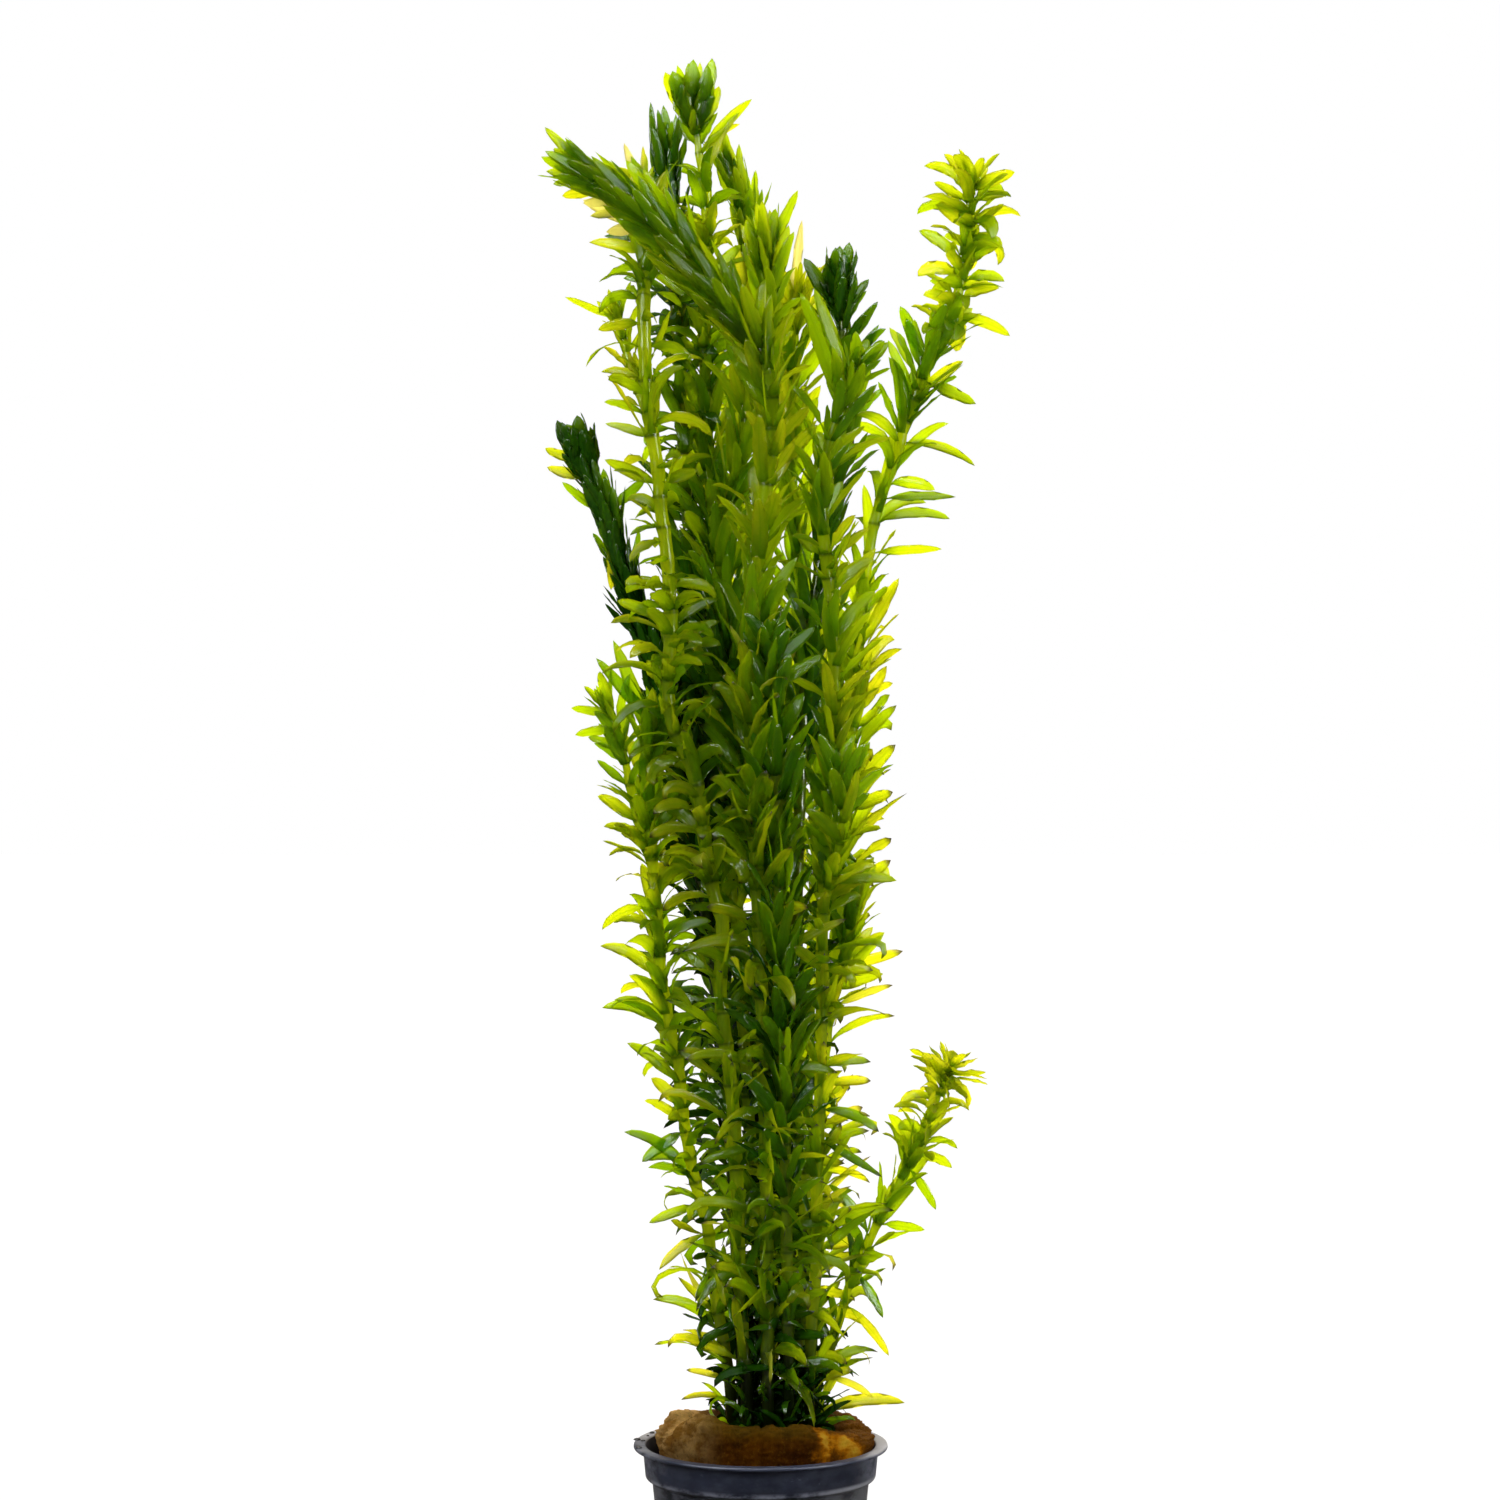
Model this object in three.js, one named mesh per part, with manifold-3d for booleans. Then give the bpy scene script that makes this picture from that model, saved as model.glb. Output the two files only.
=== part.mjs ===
// Potted Canadian waterweed: leafy shoots wrapped in mineral wool, in a small round plastic pot.
// Millimetres, +Z up, +X to the right as seen from the front, origin at the middle of the pot's flat foot.

import * as THREE from "three";
import { mergeVertices } from "three/addons/utils/BufferGeometryUtils.js";
import Module from "manifold-3d";

const library = await Module();
library.setup();

// Pot
const POT_HEIGHT = 50;
const FOOT_RADIUS = 19;
const STEP_RADIUS = 23.5;
const BAND_LOW_RADIUS = 24.9;
const BAND_TOP_RADIUS = 25.5;
const BAND_DEPTH = 5.8;
const STEP_DEPTH = 1;
const FLANGE_RADIUS = 27.5;
const FLANGE_THICKNESS = 0.9;
const MOUTH_RADIUS = 24.9;
const POT_WALL = 0.8;
const POT_FLOOR = 1.4;
const POT_SIDES = 24;
const POT_EDGE = 0.4;

// Mineral wool
const WOOL_SIDES = 20;
const WOOL_FOOT = POT_FLOOR + 0.35;
const WOOL_RADIUS = 23;
const WOOL_LEAN = 1.2;
const WOOL_LUMP = 0.9;
const WOOL_CREST = 56;
const WOOL_SLOPE = -0.12;
const WOOL_HOLLOW = 50.5;

// Stems in the wool
const COLLAR_HEIGHT = 57;
const ROOT_HEIGHT = 35;
const FIRST_WHORL_HEIGHT = 60.5;
const SOCKET_GAP = 0.36;
const SOCKET_SIDES = 5;

// The routes were traced from the front: across and down are counted in steps of a 1500 step frame, from an
// eye that looks level along +Y.
const EYE = { back: 767, height: 200, side: -2.3, focal: 3542, middle: 750 };
const WOOL_DOWN = 1400;
const SPREAD_STEPS = 600;

// What every shoot has unless its own line says otherwise: radius of the stem, length of the leaves, length
// of the dense crown, how far leaves stand off the stem in degrees, how much they bend back, distance of whorls
const USUAL = {
  row: 0,
  stem: 1.4,
  leaf: 11,
  crown: 13,
  crownLeaf: 10.5,
  crownOpen: 12,
  open: 46,
  curl: 20,
  crownSpacing: 2.7,
  spacing: 5.8,
  young: 55,
};
const OLD = { open: 70, curl: 32, spacing: 9.8, leaf: 0.95, missing: 0.14, after: 90 };
// The least and the greatest part of a habit that one leaf has
const VARIED = { open: [0.8, 1.2], curl: [0.3, 1.7], length: [0.82, 1.12] };
const YOUNG_CURL = 0.6;
const STEM_TIP = { radius: 0.55, bare: 4, taper: 30, bud: 0.55 };
const CORNERS = 4;
const TWIST = 0.02;
const LEAF_JITTER = THREE.MathUtils.degToRad(13);
const LEAF_STEPS = 8;
const TOP_RING = 1.2;
const FIRST_WHORL = 3;
const FORK_GAP = 0.5;
const FORK_FOOT = 0.5;
const TRACE_TURN_COST = 12;
const SHORTEST_PART = 0.2;
const PART_STEP = 0.13;
const LINE_STEPS = 12;

// Each point of a route is [across, down] or [across, down, row], from the wool or the fork up to the tip.
// The row is the distance behind the pot's axis at the wool, and it fans out with height. A leaf is
// [across, down] of its foot and then of its tip.
const SHOOTS = [
  {
    name: "shoot_tallest",
    row: 1.2,
    route: [
      [766, 1400, -2], [757, 1250, -1.4], [748, 1100, -0.8], [738, 950, 0], [728, 800], [721, 690],
      [717, 600], [711, 520], [709, 459], [707, 427], [705, 371], [705, 290], [707, 210], [706, 183],
      [700, 160], [694, 108],
    ],
    crown: 8, crownLeaf: 13.2, crownOpen: 18, crownSpacing: 2.2, open: 44,
    leaves: [
      [690, 120, 665, 72], [694, 120, 688, 63], [696, 120, 712, 58], [700, 126, 719, 86], [688, 128, 677, 65],
      [711, 122, 752, 99], [714, 130, 740, 112], [722, 150, 740, 124],
    ],
  },
  {
    name: "shoot_bowing_left",
    row: -7.5,
    route: [
      [768, 1400], [767, 1250], [765, 1100], [760, 950], [754, 820], [750, 700], [755, 600], [765, 500],
      [772, 430], [768, 375], [750, 338], [728, 310], [708, 286], [688, 258], [664, 229], [638, 208],
      [607, 189], [584, 173],
    ],
    stem: 1.6, leaf: 12, crown: 6, crownLeaf: 10, crownOpen: 16, open: 22, curl: 10, spacing: 4.6, young: 95,
    leaves: [[618, 200, 583, 203], [630, 215, 590, 216], [640, 225, 606, 232], [596, 186, 562, 196]],
  },
  {
    name: "shoot_dark_brush",
    row: 2.5,
    route: [
      [768, 1400], [767, 1289], [762, 1222], [760, 1160], [752, 1050], [742, 940], [725, 830], [705, 720],
      [695, 620], [689, 540], [684, 460], [680, 380], [675, 300], [670, 240], [667, 200], [667, 168],
    ],
    crown: 9, crownLeaf: 13.5, crownOpen: 9, crownSpacing: 1.9, open: 40,
    leaves: [[661, 190, 651, 108], [664, 230, 604, 236]],
  },
  {
    name: "shoot_beside_tallest",
    row: 7,
    route: [
      [772, 1400], [775, 1250], [778, 1100], [776, 950], [768, 800], [758, 700], [750, 600], [742, 500],
      [735, 420], [740, 350], [748, 300, 6], [751, 269, 5.4], [749, 240, 4.8], [747, 217, 4.4], [738, 193, 4],
      [728, 170, 3.6],
    ],
    crown: 9, crownLeaf: 8.5, crownOpen: 20, open: 38,
  },
  {
    name: "shoot_centre_high",
    row: -2.5,
    route: [
      [797, 1400], [802, 1300], [805, 1200], [798, 1145], [787, 1082], [783, 1038], [774, 976], [766, 910],
      [763, 860], [755, 829], [749, 794], [741, 738], [732, 687], [727, 636], [720, 575], [722, 520],
      [735, 480], [745, 440], [749, 400], [757, 365], [766, 335], [769, 300], [767, 270], [767, 244],
    ],
    crown: 10, crownLeaf: 8, crownOpen: 11, open: 36, leaf: 11.5,
    leaves: [[771, 250, 798, 190]],
  },
  {
    name: "shoot_dark_right",
    row: 2,
    route: [
      [787, 1400], [790, 1250], [793, 1100], [796, 950], [800, 800], [806, 680], [818, 580], [834, 500],
      [848, 440], [849, 400], [843, 360], [843, 329], [840, 300], [840, 284],
    ],
    crown: 9, crownLeaf: 8, crownOpen: 16, crownSpacing: 1.9, open: 42,
    leaves: [[852, 312, 869, 279], [822, 320, 804, 258], [830, 322, 824, 282]],
  },
  {
    name: "shoot_right_arm",
    row: 3,
    route: [
      [812, 1400], [813, 1300], [817, 1150], [830, 1000], [843, 870], [850, 760], [858, 650], [868, 560],
      [879, 505], [897, 455], [905, 424], [919, 388], [927, 362], [939, 337], [953, 311], [960, 285],
      [965, 261], [969, 233], [969, 207], [972, 182],
    ],
    stem: 1.3, leaf: 8, crown: 10, crownLeaf: 6, crownOpen: 30, open: 60, curl: 42, spacing: 4.8, young: 110,
    leaves: [
      [884, 500, 956, 497], [882, 522, 950, 519], [876, 556, 942, 549], [962, 318, 1010, 336],
      [912, 392, 888, 340], [936, 380, 976, 404], [905, 450, 975, 466], [920, 350, 900, 306],
      [866, 640, 899, 578], [858, 700, 893, 683], [852, 740, 880, 706], [846, 800, 893, 792],
      [838, 905, 891, 860], [836, 965, 903, 951], [830, 990, 893, 985], [824, 1030, 895, 1016],
    ],
  },
  {
    name: "shoot_left_dark",
    row: 1.2,
    route: [
      [743, 1400], [736, 1250], [727, 1100], [712, 950], [690, 820], [668, 720], [658, 678], [652, 652],
      [642, 629], [635, 610], [627, 581], [618, 552], [610, 523], [600, 499], [589, 472], [580, 450],
    ],
    leaf: 9, crown: 10, crownLeaf: 7.5, crownOpen: 18, open: 40, curl: 38, spacing: 4.2, young: 60,
    leaves: [[585, 470, 557, 420], [592, 480, 628, 470], [575, 455, 545, 448]],
  },
  {
    name: "shoot_low_left",
    row: -3,
    route: [
      [731, 1400], [722, 1334], [715, 1295], [711, 1256], [708, 1229], [702, 1207], [693, 1172], [685, 1127],
      [681, 1095], [678, 1059], [671, 1032], [666, 1003], [661, 976], [658, 926], [654, 879], [651, 852],
      [649, 819], [648, 786], [650, 753], [656, 718],
    ],
    crown: 12, crownLeaf: 11, crownOpen: 30, open: 55, curl: 25, young: 30,
    leaves: [
      [650, 722, 596, 658], [652, 735, 613, 640], [656, 918, 602, 930], [659, 976, 600, 946],
      [665, 1034, 602, 1008], [666, 1040, 614, 1000], [676, 1072, 627, 1043], [688, 1172, 624, 1132],
      [686, 1160, 644, 1160], [696, 1196, 649, 1223], [708, 1245, 659, 1270], [718, 1300, 678, 1277],
      [727, 1345, 682, 1330], [731, 1398, 681, 1403],
    ],
  },
  {
    name: "shoot_low_right",
    row: -1.5,
    route: [
      [816, 1400], [824, 1370], [834, 1338], [841, 1316], [846, 1295], [853, 1275], [866, 1249], [878, 1222],
      [891, 1199], [905, 1172], [917, 1145], [928, 1120], [937, 1099], [946, 1079], [953, 1062],
    ],
    stem: 1.05, leaf: 7.5, crown: 7, crownLeaf: 4.5, crownOpen: 40, open: 50, curl: 30, crownSpacing: 1.8,
    spacing: 5.2,
    leaves: [
      [914, 1158, 952, 1168], [905, 1180, 936, 1210], [898, 1150, 888, 1114], [882, 1216, 925, 1230],
      [860, 1285, 883, 1318], [846, 1310, 889, 1356], [824, 1372, 905, 1408],
    ],
  },
  {
    name: "shoot_clear_left",
    row: -6.5,
    route: [
      [747, 1400], [743, 1340], [739, 1276], [737, 1185], [734, 1120], [728, 1059], [723, 1019], [720, 984],
      [722, 943], [722, 918], [713, 891], [706, 850], [700, 800], [690, 762], [672, 722], [668, 680],
      [671, 631], [670, 600], [666, 547], [661, 510], [658, 470], [651, 430], [647, 400], [645, 359],
      [644, 309, -6], [644, 270, -4], [645, 230, -1], [645, 190, 1],
    ],
    stem: 1.6, crown: 9, crownLeaf: 9, crownOpen: 22, open: 56,
    leaves: [
      [640, 200, 606, 160], [644, 196, 634, 142], [636, 232, 583, 200], [640, 335, 598, 330],
      [642, 385, 601, 372], [644, 412, 604, 402],
    ],
  },
  {
    name: "shoot_back_left",
    row: 5.5,
    route: [
      [748, 1400], [740, 1250], [728, 1100], [712, 950], [698, 820], [690, 720], [688, 640], [690, 580],
      [691, 530], [690, 500],
    ],
    crown: 9, crownLeaf: 9.5, crownOpen: 18, crownSpacing: 2, open: 40,
  },
  {
    name: "shoot_right_fan",
    row: -5.6,
    route: [
      [809, 1400], [812, 1320], [816, 1270], [817, 1191], [819, 1122], [821, 1043], [822, 943], [826, 860],
      [832, 780], [835, 700], [832, 620], [826, 560], [822, 500], [828, 450], [838, 415], [849, 388],
      [858, 366],
    ],
    crown: 12, crownLeaf: 9.5, crownOpen: 24, open: 40, leaf: 12,
    leaves: [[850, 392, 814, 288], [848, 400, 800, 292], [862, 380, 889, 342]],
  },
  {
    name: "shoot_centre_mid",
    row: -8.5,
    route: [
      [789, 1400], [787, 1250], [784, 1100], [781, 950], [778, 820], [775, 730], [772, 680], [769, 640],
    ],
    crown: 12, crownLeaf: 11.5, crownOpen: 14, crownSpacing: 2, open: 38, leaf: 11.5, young: 60,
    leaves: [[776, 690, 822, 655], [775, 670, 815, 627]],
  },
  {
    name: "shoot_back_right",
    row: 6.5,
    route: [
      [797, 1400], [801, 1250], [806, 1100], [812, 950], [818, 820], [815, 700], [803, 600], [793, 520],
      [788, 450], [790, 380], [794, 330], [797, 300],
    ],
    crown: 10, crownLeaf: 8, crownOpen: 24, open: 40,
    leaves: [[793, 285, 802, 220]],
  },
  {
    name: "side_shoot_left",
    from: "shoot_clear_left",
    row: -3.5,
    route: [[650, 425, -6.5], [640, 396, -5], [631, 370, -4], [624, 340], [617, 312]],
    stem: 1, leaf: 8, crown: 6, crownLeaf: 6.5, crownOpen: 18, open: 45, spacing: 3.2,
    leaves: [[620, 318, 565, 297]],
  },
  {
    name: "side_shoot_low_left",
    from: "shoot_low_left",
    row: -3,
    route: [[652, 866], [641, 830], [632, 795], [625, 760], [617, 728], [607, 706]],
    stem: 1.2, leaf: 9.5, crown: 8, crownLeaf: 7, crownOpen: 26, open: 52, spacing: 3.6,
    leaves: [
      [610, 715, 571, 708], [613, 725, 575, 735], [620, 745, 588, 737], [627, 785, 597, 760],
      [606, 708, 584, 686],
    ],
  },
  {
    name: "side_shoot_right_upper",
    from: "shoot_right_fan",
    row: -8.6,
    route: [[824, 905, -5.6], [834, 870, -7.2], [841, 835, -8.2], [843, 805, -8.6], [841, 780, -8.8]],
    stem: 1.1, crown: 8, crownLeaf: 9, crownOpen: 24, open: 44, spacing: 3.2,
    leaves: [[846, 790, 870, 742], [836, 800, 818, 752]],
  },
  {
    name: "side_shoot_right_lower",
    from: "shoot_right_arm",
    row: -1,
    route: [[831, 1005, 3], [842, 965, 1.2], [850, 930, -0.4], [854, 893]],
    stem: 1.1, crown: 8, crownLeaf: 8, crownOpen: 24, open: 46, spacing: 3.2,
  },
].map((shoot, number) => ({ ...USUAL, leaves: [], ...shoot, number, turn: 0.7 * number }));

const AWAY = new THREE.Vector3(0, 1, 0);
const LEAST_CLEARANCE = 0.42;

// A number from 0 to 1 that looks random and is the same each time
function scatter(a, b, c) {
  const wave = Math.sin(a * 12.9898 + b * 78.233 + c * 37.719) * 43758.5453;
  return wave - Math.floor(wave);
}

function smooth(value) {
  const part = Math.min(Math.max(value, 0), 1);
  return part * part * (3 - 2 * part);
}

function placeAtDepth(across, down, depth) {
  const scale = (EYE.back + depth) / EYE.focal;
  const x = EYE.side + (across - EYE.middle) * scale;
  const z = EYE.height - (down - EYE.middle) * scale;
  return new THREE.Vector3(x, depth, z);
}

function placeOf(across, down, row) {
  return placeAtDepth(across, down, row * (1 + (WOOL_DOWN - down) / SPREAD_STEPS));
}

// The line of a stem from its tip down, as short straight steps, with the distance of each step from the tip
function stemLine(shoot) {
  const points = shoot.route.map(([across, down, row]) => placeOf(across, down, row ?? shoot.row));
  if (!shoot.from) {
    points.unshift(new THREE.Vector3(points[0].x, points[0].y, ROOT_HEIGHT));
  }
  const curve = new THREE.CatmullRomCurve3(points.reverse(), false, "catmullrom", 0.5);
  const steps = curve.getPoints((points.length - 1) * LINE_STEPS);
  const reach = [0];
  for (let i = 1; i < steps.length; i++) {
    reach.push(reach[i - 1] + steps[i].distanceTo(steps[i - 1]));
  }
  return { steps, reach, length: reach[reach.length - 1] };
}

function pointAt(line, distance) {
  let i = 1;
  while (i < line.steps.length - 1 && line.reach[i] < distance) {
    i++;
  }
  const part = (distance - line.reach[i - 1]) / (line.reach[i] - line.reach[i - 1]);
  return line.steps[i - 1].clone().lerp(line.steps[i], part);
}

function distanceAtHeight(line, height) {
  return line.reach[line.steps.findIndex((step) => step.z < height)];
}

function distanceToLine(point, line) {
  return Math.min(...line.steps.map((step) => step.distanceTo(point)));
}

// How the leaves of a shoot stand at a distance from its tip
function habitAt(shoot, distance) {
  const grown = smooth(distance / shoot.crown);
  const old = smooth((distance - shoot.young) / OLD.after);
  const { lerp } = THREE.MathUtils;
  const mix = (first, later, last) => lerp(lerp(first, later, grown), last, old);
  return {
    open: THREE.MathUtils.degToRad(mix(shoot.crownOpen, shoot.open, OLD.open)),
    curl: THREE.MathUtils.degToRad(mix(shoot.curl * YOUNG_CURL, shoot.curl, OLD.curl)),
    length: mix(shoot.crownLeaf, shoot.leaf, shoot.leaf * OLD.leaf),
    spacing: mix(shoot.crownSpacing, shoot.spacing, OLD.spacing),
    missing: OLD.missing * old,
  };
}

// A cross-section of the stem: its middle, the way up the stem, and two directions across it
function ringAt(shoot, line, distance, whorl) {
  const centre = pointAt(line, distance);
  const along = pointAt(line, distance - 1).sub(pointAt(line, distance + 1)).normalize();
  const side = AWAY.clone().cross(along).normalize();
  const away = along.clone().cross(side);
  const grown = smooth((distance + STEM_TIP.bare) / STEM_TIP.taper);
  const radius = THREE.MathUtils.lerp(STEM_TIP.radius, shoot.stem, grown);
  return { centre, along, side, away, radius, distance, whorl, turn: shoot.turn + TWIST * distance };
}

function outward(ring, angle) {
  return ring.side.clone().multiplyScalar(Math.cos(angle)).addScaledVector(ring.away, Math.sin(angle));
}

function cornerOf(ring, corner) {
  const angle = ring.turn + (corner * 2 * Math.PI) / CORNERS;
  return ring.centre.clone().addScaledVector(outward(ring, angle), ring.radius);
}

// The least distance from the tip at which a side shoot comes this close to the line of its parent
function forkEnd(line, parent, nearness) {
  let end = line.length;
  while (distanceToLine(pointAt(line, end), parent) < nearness) {
    end -= 0.25;
  }
  return end;
}

// The whorls of a shoot from the tip down, each as its distance from the tip
function whorlsOf(shoot, line, lowest) {
  const whorls = [];
  let distance = FIRST_WHORL;
  while (distance + habitAt(shoot, distance).spacing / 2 < lowest) {
    whorls.push(distance);
    distance += habitAt(shoot, distance).spacing;
  }
  return whorls;
}

// The rings of a shoot from the tip down. A whorl has two rings, at its own height and half a space below,
// with two leaves on each. The other rings are plain: one at the tip, one under the leaves, one at the root.
function ringsOf(shoot, line, lines) {
  const rings = [ringAt(shoot, line, TOP_RING, null)];
  const parent = lines.get(shoot.from);
  const lowest = parent
    ? forkEnd(line, parent, 2 * shoot.stem + FORK_GAP)
    : distanceAtHeight(line, FIRST_WHORL_HEIGHT);
  whorlsOf(shoot, line, lowest).forEach((distance, whorl) => {
    const half = habitAt(shoot, distance).spacing / 2;
    rings.push(ringAt(shoot, line, distance, whorl), ringAt(shoot, line, distance + half, whorl));
  });
  if (parent) {
    rings.push(ringAt(shoot, line, lowest, null));
    const foot = ringAt(shoot, line, forkEnd(line, parent, shoot.stem + FORK_FOOT + FORK_GAP), null);
    rings.push({ ...foot, radius: FORK_FOOT });
  } else {
    rings.push(ringAt(shoot, line, distanceAtHeight(line, COLLAR_HEIGHT), null));
    rings.push(ringAt(shoot, line, line.length, null));
  }
  return rings;
}

// The tip of the leaf that grows at one corner of a whorl, or null where that leaf is missing
function leafTip(shoot, node, corner) {
  const habit = habitAt(shoot, node.distance);
  const chance = (salt) => scatter(shoot.number + 1, node.whorl * CORNERS + corner, salt);
  const varied = ([least, greatest], salt) => THREE.MathUtils.lerp(least, greatest, chance(salt));
  if (chance(1) < habit.missing) {
    return null;
  }
  const turn = node.turn + (corner * 2 * Math.PI) / CORNERS + (chance(2) - 0.5) * 2 * LEAF_JITTER;
  const open = habit.open * varied(VARIED.open, 3);
  const curl = habit.curl * varied(VARIED.curl, 4);
  const length = habit.length * varied(VARIED.length, 5);
  const out = outward(node, turn);
  const tip = node.centre.clone().addScaledVector(out, node.radius);
  for (let step = 0; step < LEAF_STEPS; step++) {
    const angle = open + (curl * (step + 0.5)) / LEAF_STEPS;
    tip.addScaledVector(node.along, (Math.cos(angle) * length) / LEAF_STEPS);
    tip.addScaledVector(out, (Math.sin(angle) * length) / LEAF_STEPS);
  }
  return tip;
}

function hasLeaf(rings, number, corner) {
  return rings[number].whorl !== null && (number + corner) % 2 === 0;
}

// Both rings of a whorl carry leaves that start at the height of the upper one
function nodeOf(rings, number) {
  return rings[number - 1].whorl === rings[number].whorl ? rings[number - 1] : rings[number];
}

// The tips of the traced leaves, each at the whorl and the corner nearest to its foot and its direction
function tracedTips(shoot, rings) {
  const tips = new Map();
  for (const [footAcross, footDown, tipAcross, tipDown] of shoot.leaves) {
    let best = { cost: Infinity };
    rings.forEach((ring, number) => {
      if (ring.whorl === null) {
        return;
      }
      const node = nodeOf(rings, number);
      const foot = placeAtDepth(footAcross, footDown, node.centre.y);
      const tip = placeAtDepth(tipAcross, tipDown, node.centre.y);
      const way = tip.clone().sub(node.centre).projectOnPlane(node.along).normalize();
      for (let corner = 0; corner < CORNERS; corner++) {
        const off = 1 - way.dot(outward(node, node.turn + (corner * 2 * Math.PI) / CORNERS));
        const cost = node.centre.distanceTo(foot) + TRACE_TURN_COST * off;
        if (hasLeaf(rings, number, corner) && cost < best.cost) {
          best = { cost, tip, key: number * CORNERS + corner };
        }
      }
    });
    tips.set(best.key, best.tip);
  }
  return tips;
}

// Cells of space and the shoots that hold them, so that leaves of neighbouring shoots stay apart
const CELL = LEAST_CLEARANCE + 0.7;
const SAMPLE = 0.6;
const CELLS_ACROSS = 1024;
const holders = new Map();

function cellKey(x, y, z) {
  const half = CELLS_ACROSS / 2;
  return ((x + half) * CELLS_ACROSS + (y + half)) * CELLS_ACROSS + (z + half);
}

function eachSample([a, b, c], visit) {
  const longest = Math.max(a.distanceTo(b), b.distanceTo(c), c.distanceTo(a));
  const steps = Math.max(1, Math.ceil(longest / SAMPLE));
  for (let i = 0; i <= steps; i++) {
    for (let j = 0; j <= steps - i; j++) {
      const u = i / steps;
      const v = j / steps;
      const w = 1 - u - v;
      const x = Math.floor((a.x * w + b.x * u + c.x * v) / CELL);
      const y = Math.floor((a.y * w + b.y * u + c.y * v) / CELL);
      const z = Math.floor((a.z * w + b.z * u + c.z * v) / CELL);
      if (visit(x, y, z) === false) {
        return false;
      }
    }
  }
  return true;
}

function hold(triangles, holder) {
  const own = new Set();
  for (const triangle of triangles) {
    eachSample(triangle, (x, y, z) => {
      own.add(cellKey(x, y, z));
    });
  }
  for (const key of own) {
    for (let dx = -1; dx <= 1; dx++) {
      for (let dy = -1; dy <= 1; dy++) {
        for (let dz = -1; dz <= 1; dz++) {
          const near = key + (dx * CELLS_ACROSS + dy) * CELLS_ACROSS + dz;
          holders.set(near, (holders.get(near) ?? 0) | (1 << holder));
        }
      }
    }
  }
}

function isFree(triangles, holder) {
  return triangles.every((triangle) =>
    eachSample(triangle, (x, y, z) => ((holders.get(cellKey(x, y, z)) ?? 0) & ~(1 << holder)) === 0),
  );
}

// The four faces of a leaf, on the stem's corners round its foot
function leafFaces(corners, number, corner, tip) {
  const left = corners[number][(corner + CORNERS - 1) % CORNERS];
  const right = corners[number][(corner + 1) % CORNERS];
  const above = corners[number - 1][corner];
  const below = corners[number + 1][corner];
  return [[tip, left, above], [tip, above, right], [tip, right, below], [tip, below, left]];
}

// Quads between two rings are cut along the diagonal that joins bare stem corners
function sideTriangles(rings, number) {
  const triangles = [];
  for (let corner = 0; corner < CORNERS; corner++) {
    const next = (corner + 1) % CORNERS;
    const [upperLeft, upperRight] = [[number, corner], [number, next]];
    const [lowerLeft, lowerRight] = [[number + 1, corner], [number + 1, next]];
    if ((number + corner) % 2 === 0) {
      triangles.push([upperLeft, lowerLeft, upperRight], [upperRight, lowerLeft, lowerRight]);
    } else {
      triangles.push([upperLeft, lowerLeft, lowerRight], [upperLeft, lowerRight, upperRight]);
    }
  }
  return triangles;
}

// Leaves grow as long as they can, up to their full length, before they would touch a neighbouring shoot
function growLeaves(shoot, rings, corners) {
  const traced = tracedTips(shoot, rings);
  rings.forEach((ring, number) => {
    for (let corner = 0; corner < CORNERS; corner++) {
      if (!hasLeaf(rings, number, corner)) {
        continue;
      }
      const full = traced.get(number * CORNERS + corner) ?? leafTip(shoot, nodeOf(rings, number), corner);
      const foot = corners[number][corner];
      for (let part = 1; full && part > SHORTEST_PART; part -= PART_STEP) {
        const tip = foot.clone().lerp(full, part);
        const faces = leafFaces(corners, number, corner, tip);
        if (isFree(faces, shoot.number)) {
          corners[number][corner] = tip;
          hold(faces, shoot.number);
          break;
        }
      }
    }
  });
}

// The bare stem of a shoot, its end points included
function bareStem(shoot, lines) {
  const rings = ringsOf(shoot, lines.get(shoot.name), lines);
  const corners = rings.map((ring) => Array.from({ length: CORNERS }, (_, corner) => cornerOf(ring, corner)));
  const top = rings[0].centre.clone().addScaledVector(rings[0].along, shoot.crownLeaf * STEM_TIP.bud);
  return { rings, corners, top };
}

function stemTriangles({ rings, corners, top }) {
  const triangles = [];
  for (let corner = 0; corner < CORNERS; corner++) {
    triangles.push([top, corners[0][corner], corners[0][(corner + 1) % CORNERS]]);
  }
  for (let number = 0; number < rings.length - 1; number++) {
    for (const triangle of sideTriangles(rings, number)) {
      triangles.push(triangle.map(([ring, corner]) => corners[ring][corner]));
    }
  }
  const last = corners[rings.length - 1];
  triangles.push([last[0], last[3], last[2]], [last[0], last[2], last[1]]);
  return triangles;
}

function geometryFrom(triangles) {
  const places = triangles.flat().flatMap((point) => [point.x, point.y, point.z]);
  const geometry = new THREE.BufferGeometry();
  geometry.setAttribute("position", new THREE.Float32BufferAttribute(places, 3));
  return mergeVertices(geometry, 1e-4);
}

function solidFrom(geometry) {
  const bare = geometry.clone();
  bare.deleteAttribute("normal");
  bare.deleteAttribute("uv");
  const merged = mergeVertices(bare, 1e-4);
  return new library.Manifold(
    new library.Mesh({
      numProp: 3,
      vertProperties: new Float32Array(merged.attributes.position.array),
      triVerts: new Uint32Array(merged.index.array),
    }),
  );
}

function geometryOfSolid(solid) {
  const mesh = solid.getMesh();
  const geometry = new THREE.BufferGeometry();
  geometry.setAttribute("position", new THREE.Float32BufferAttribute(mesh.vertProperties, 3));
  geometry.setIndex(new THREE.BufferAttribute(new Uint32Array(mesh.triVerts), 1));
  return geometry;
}

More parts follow.
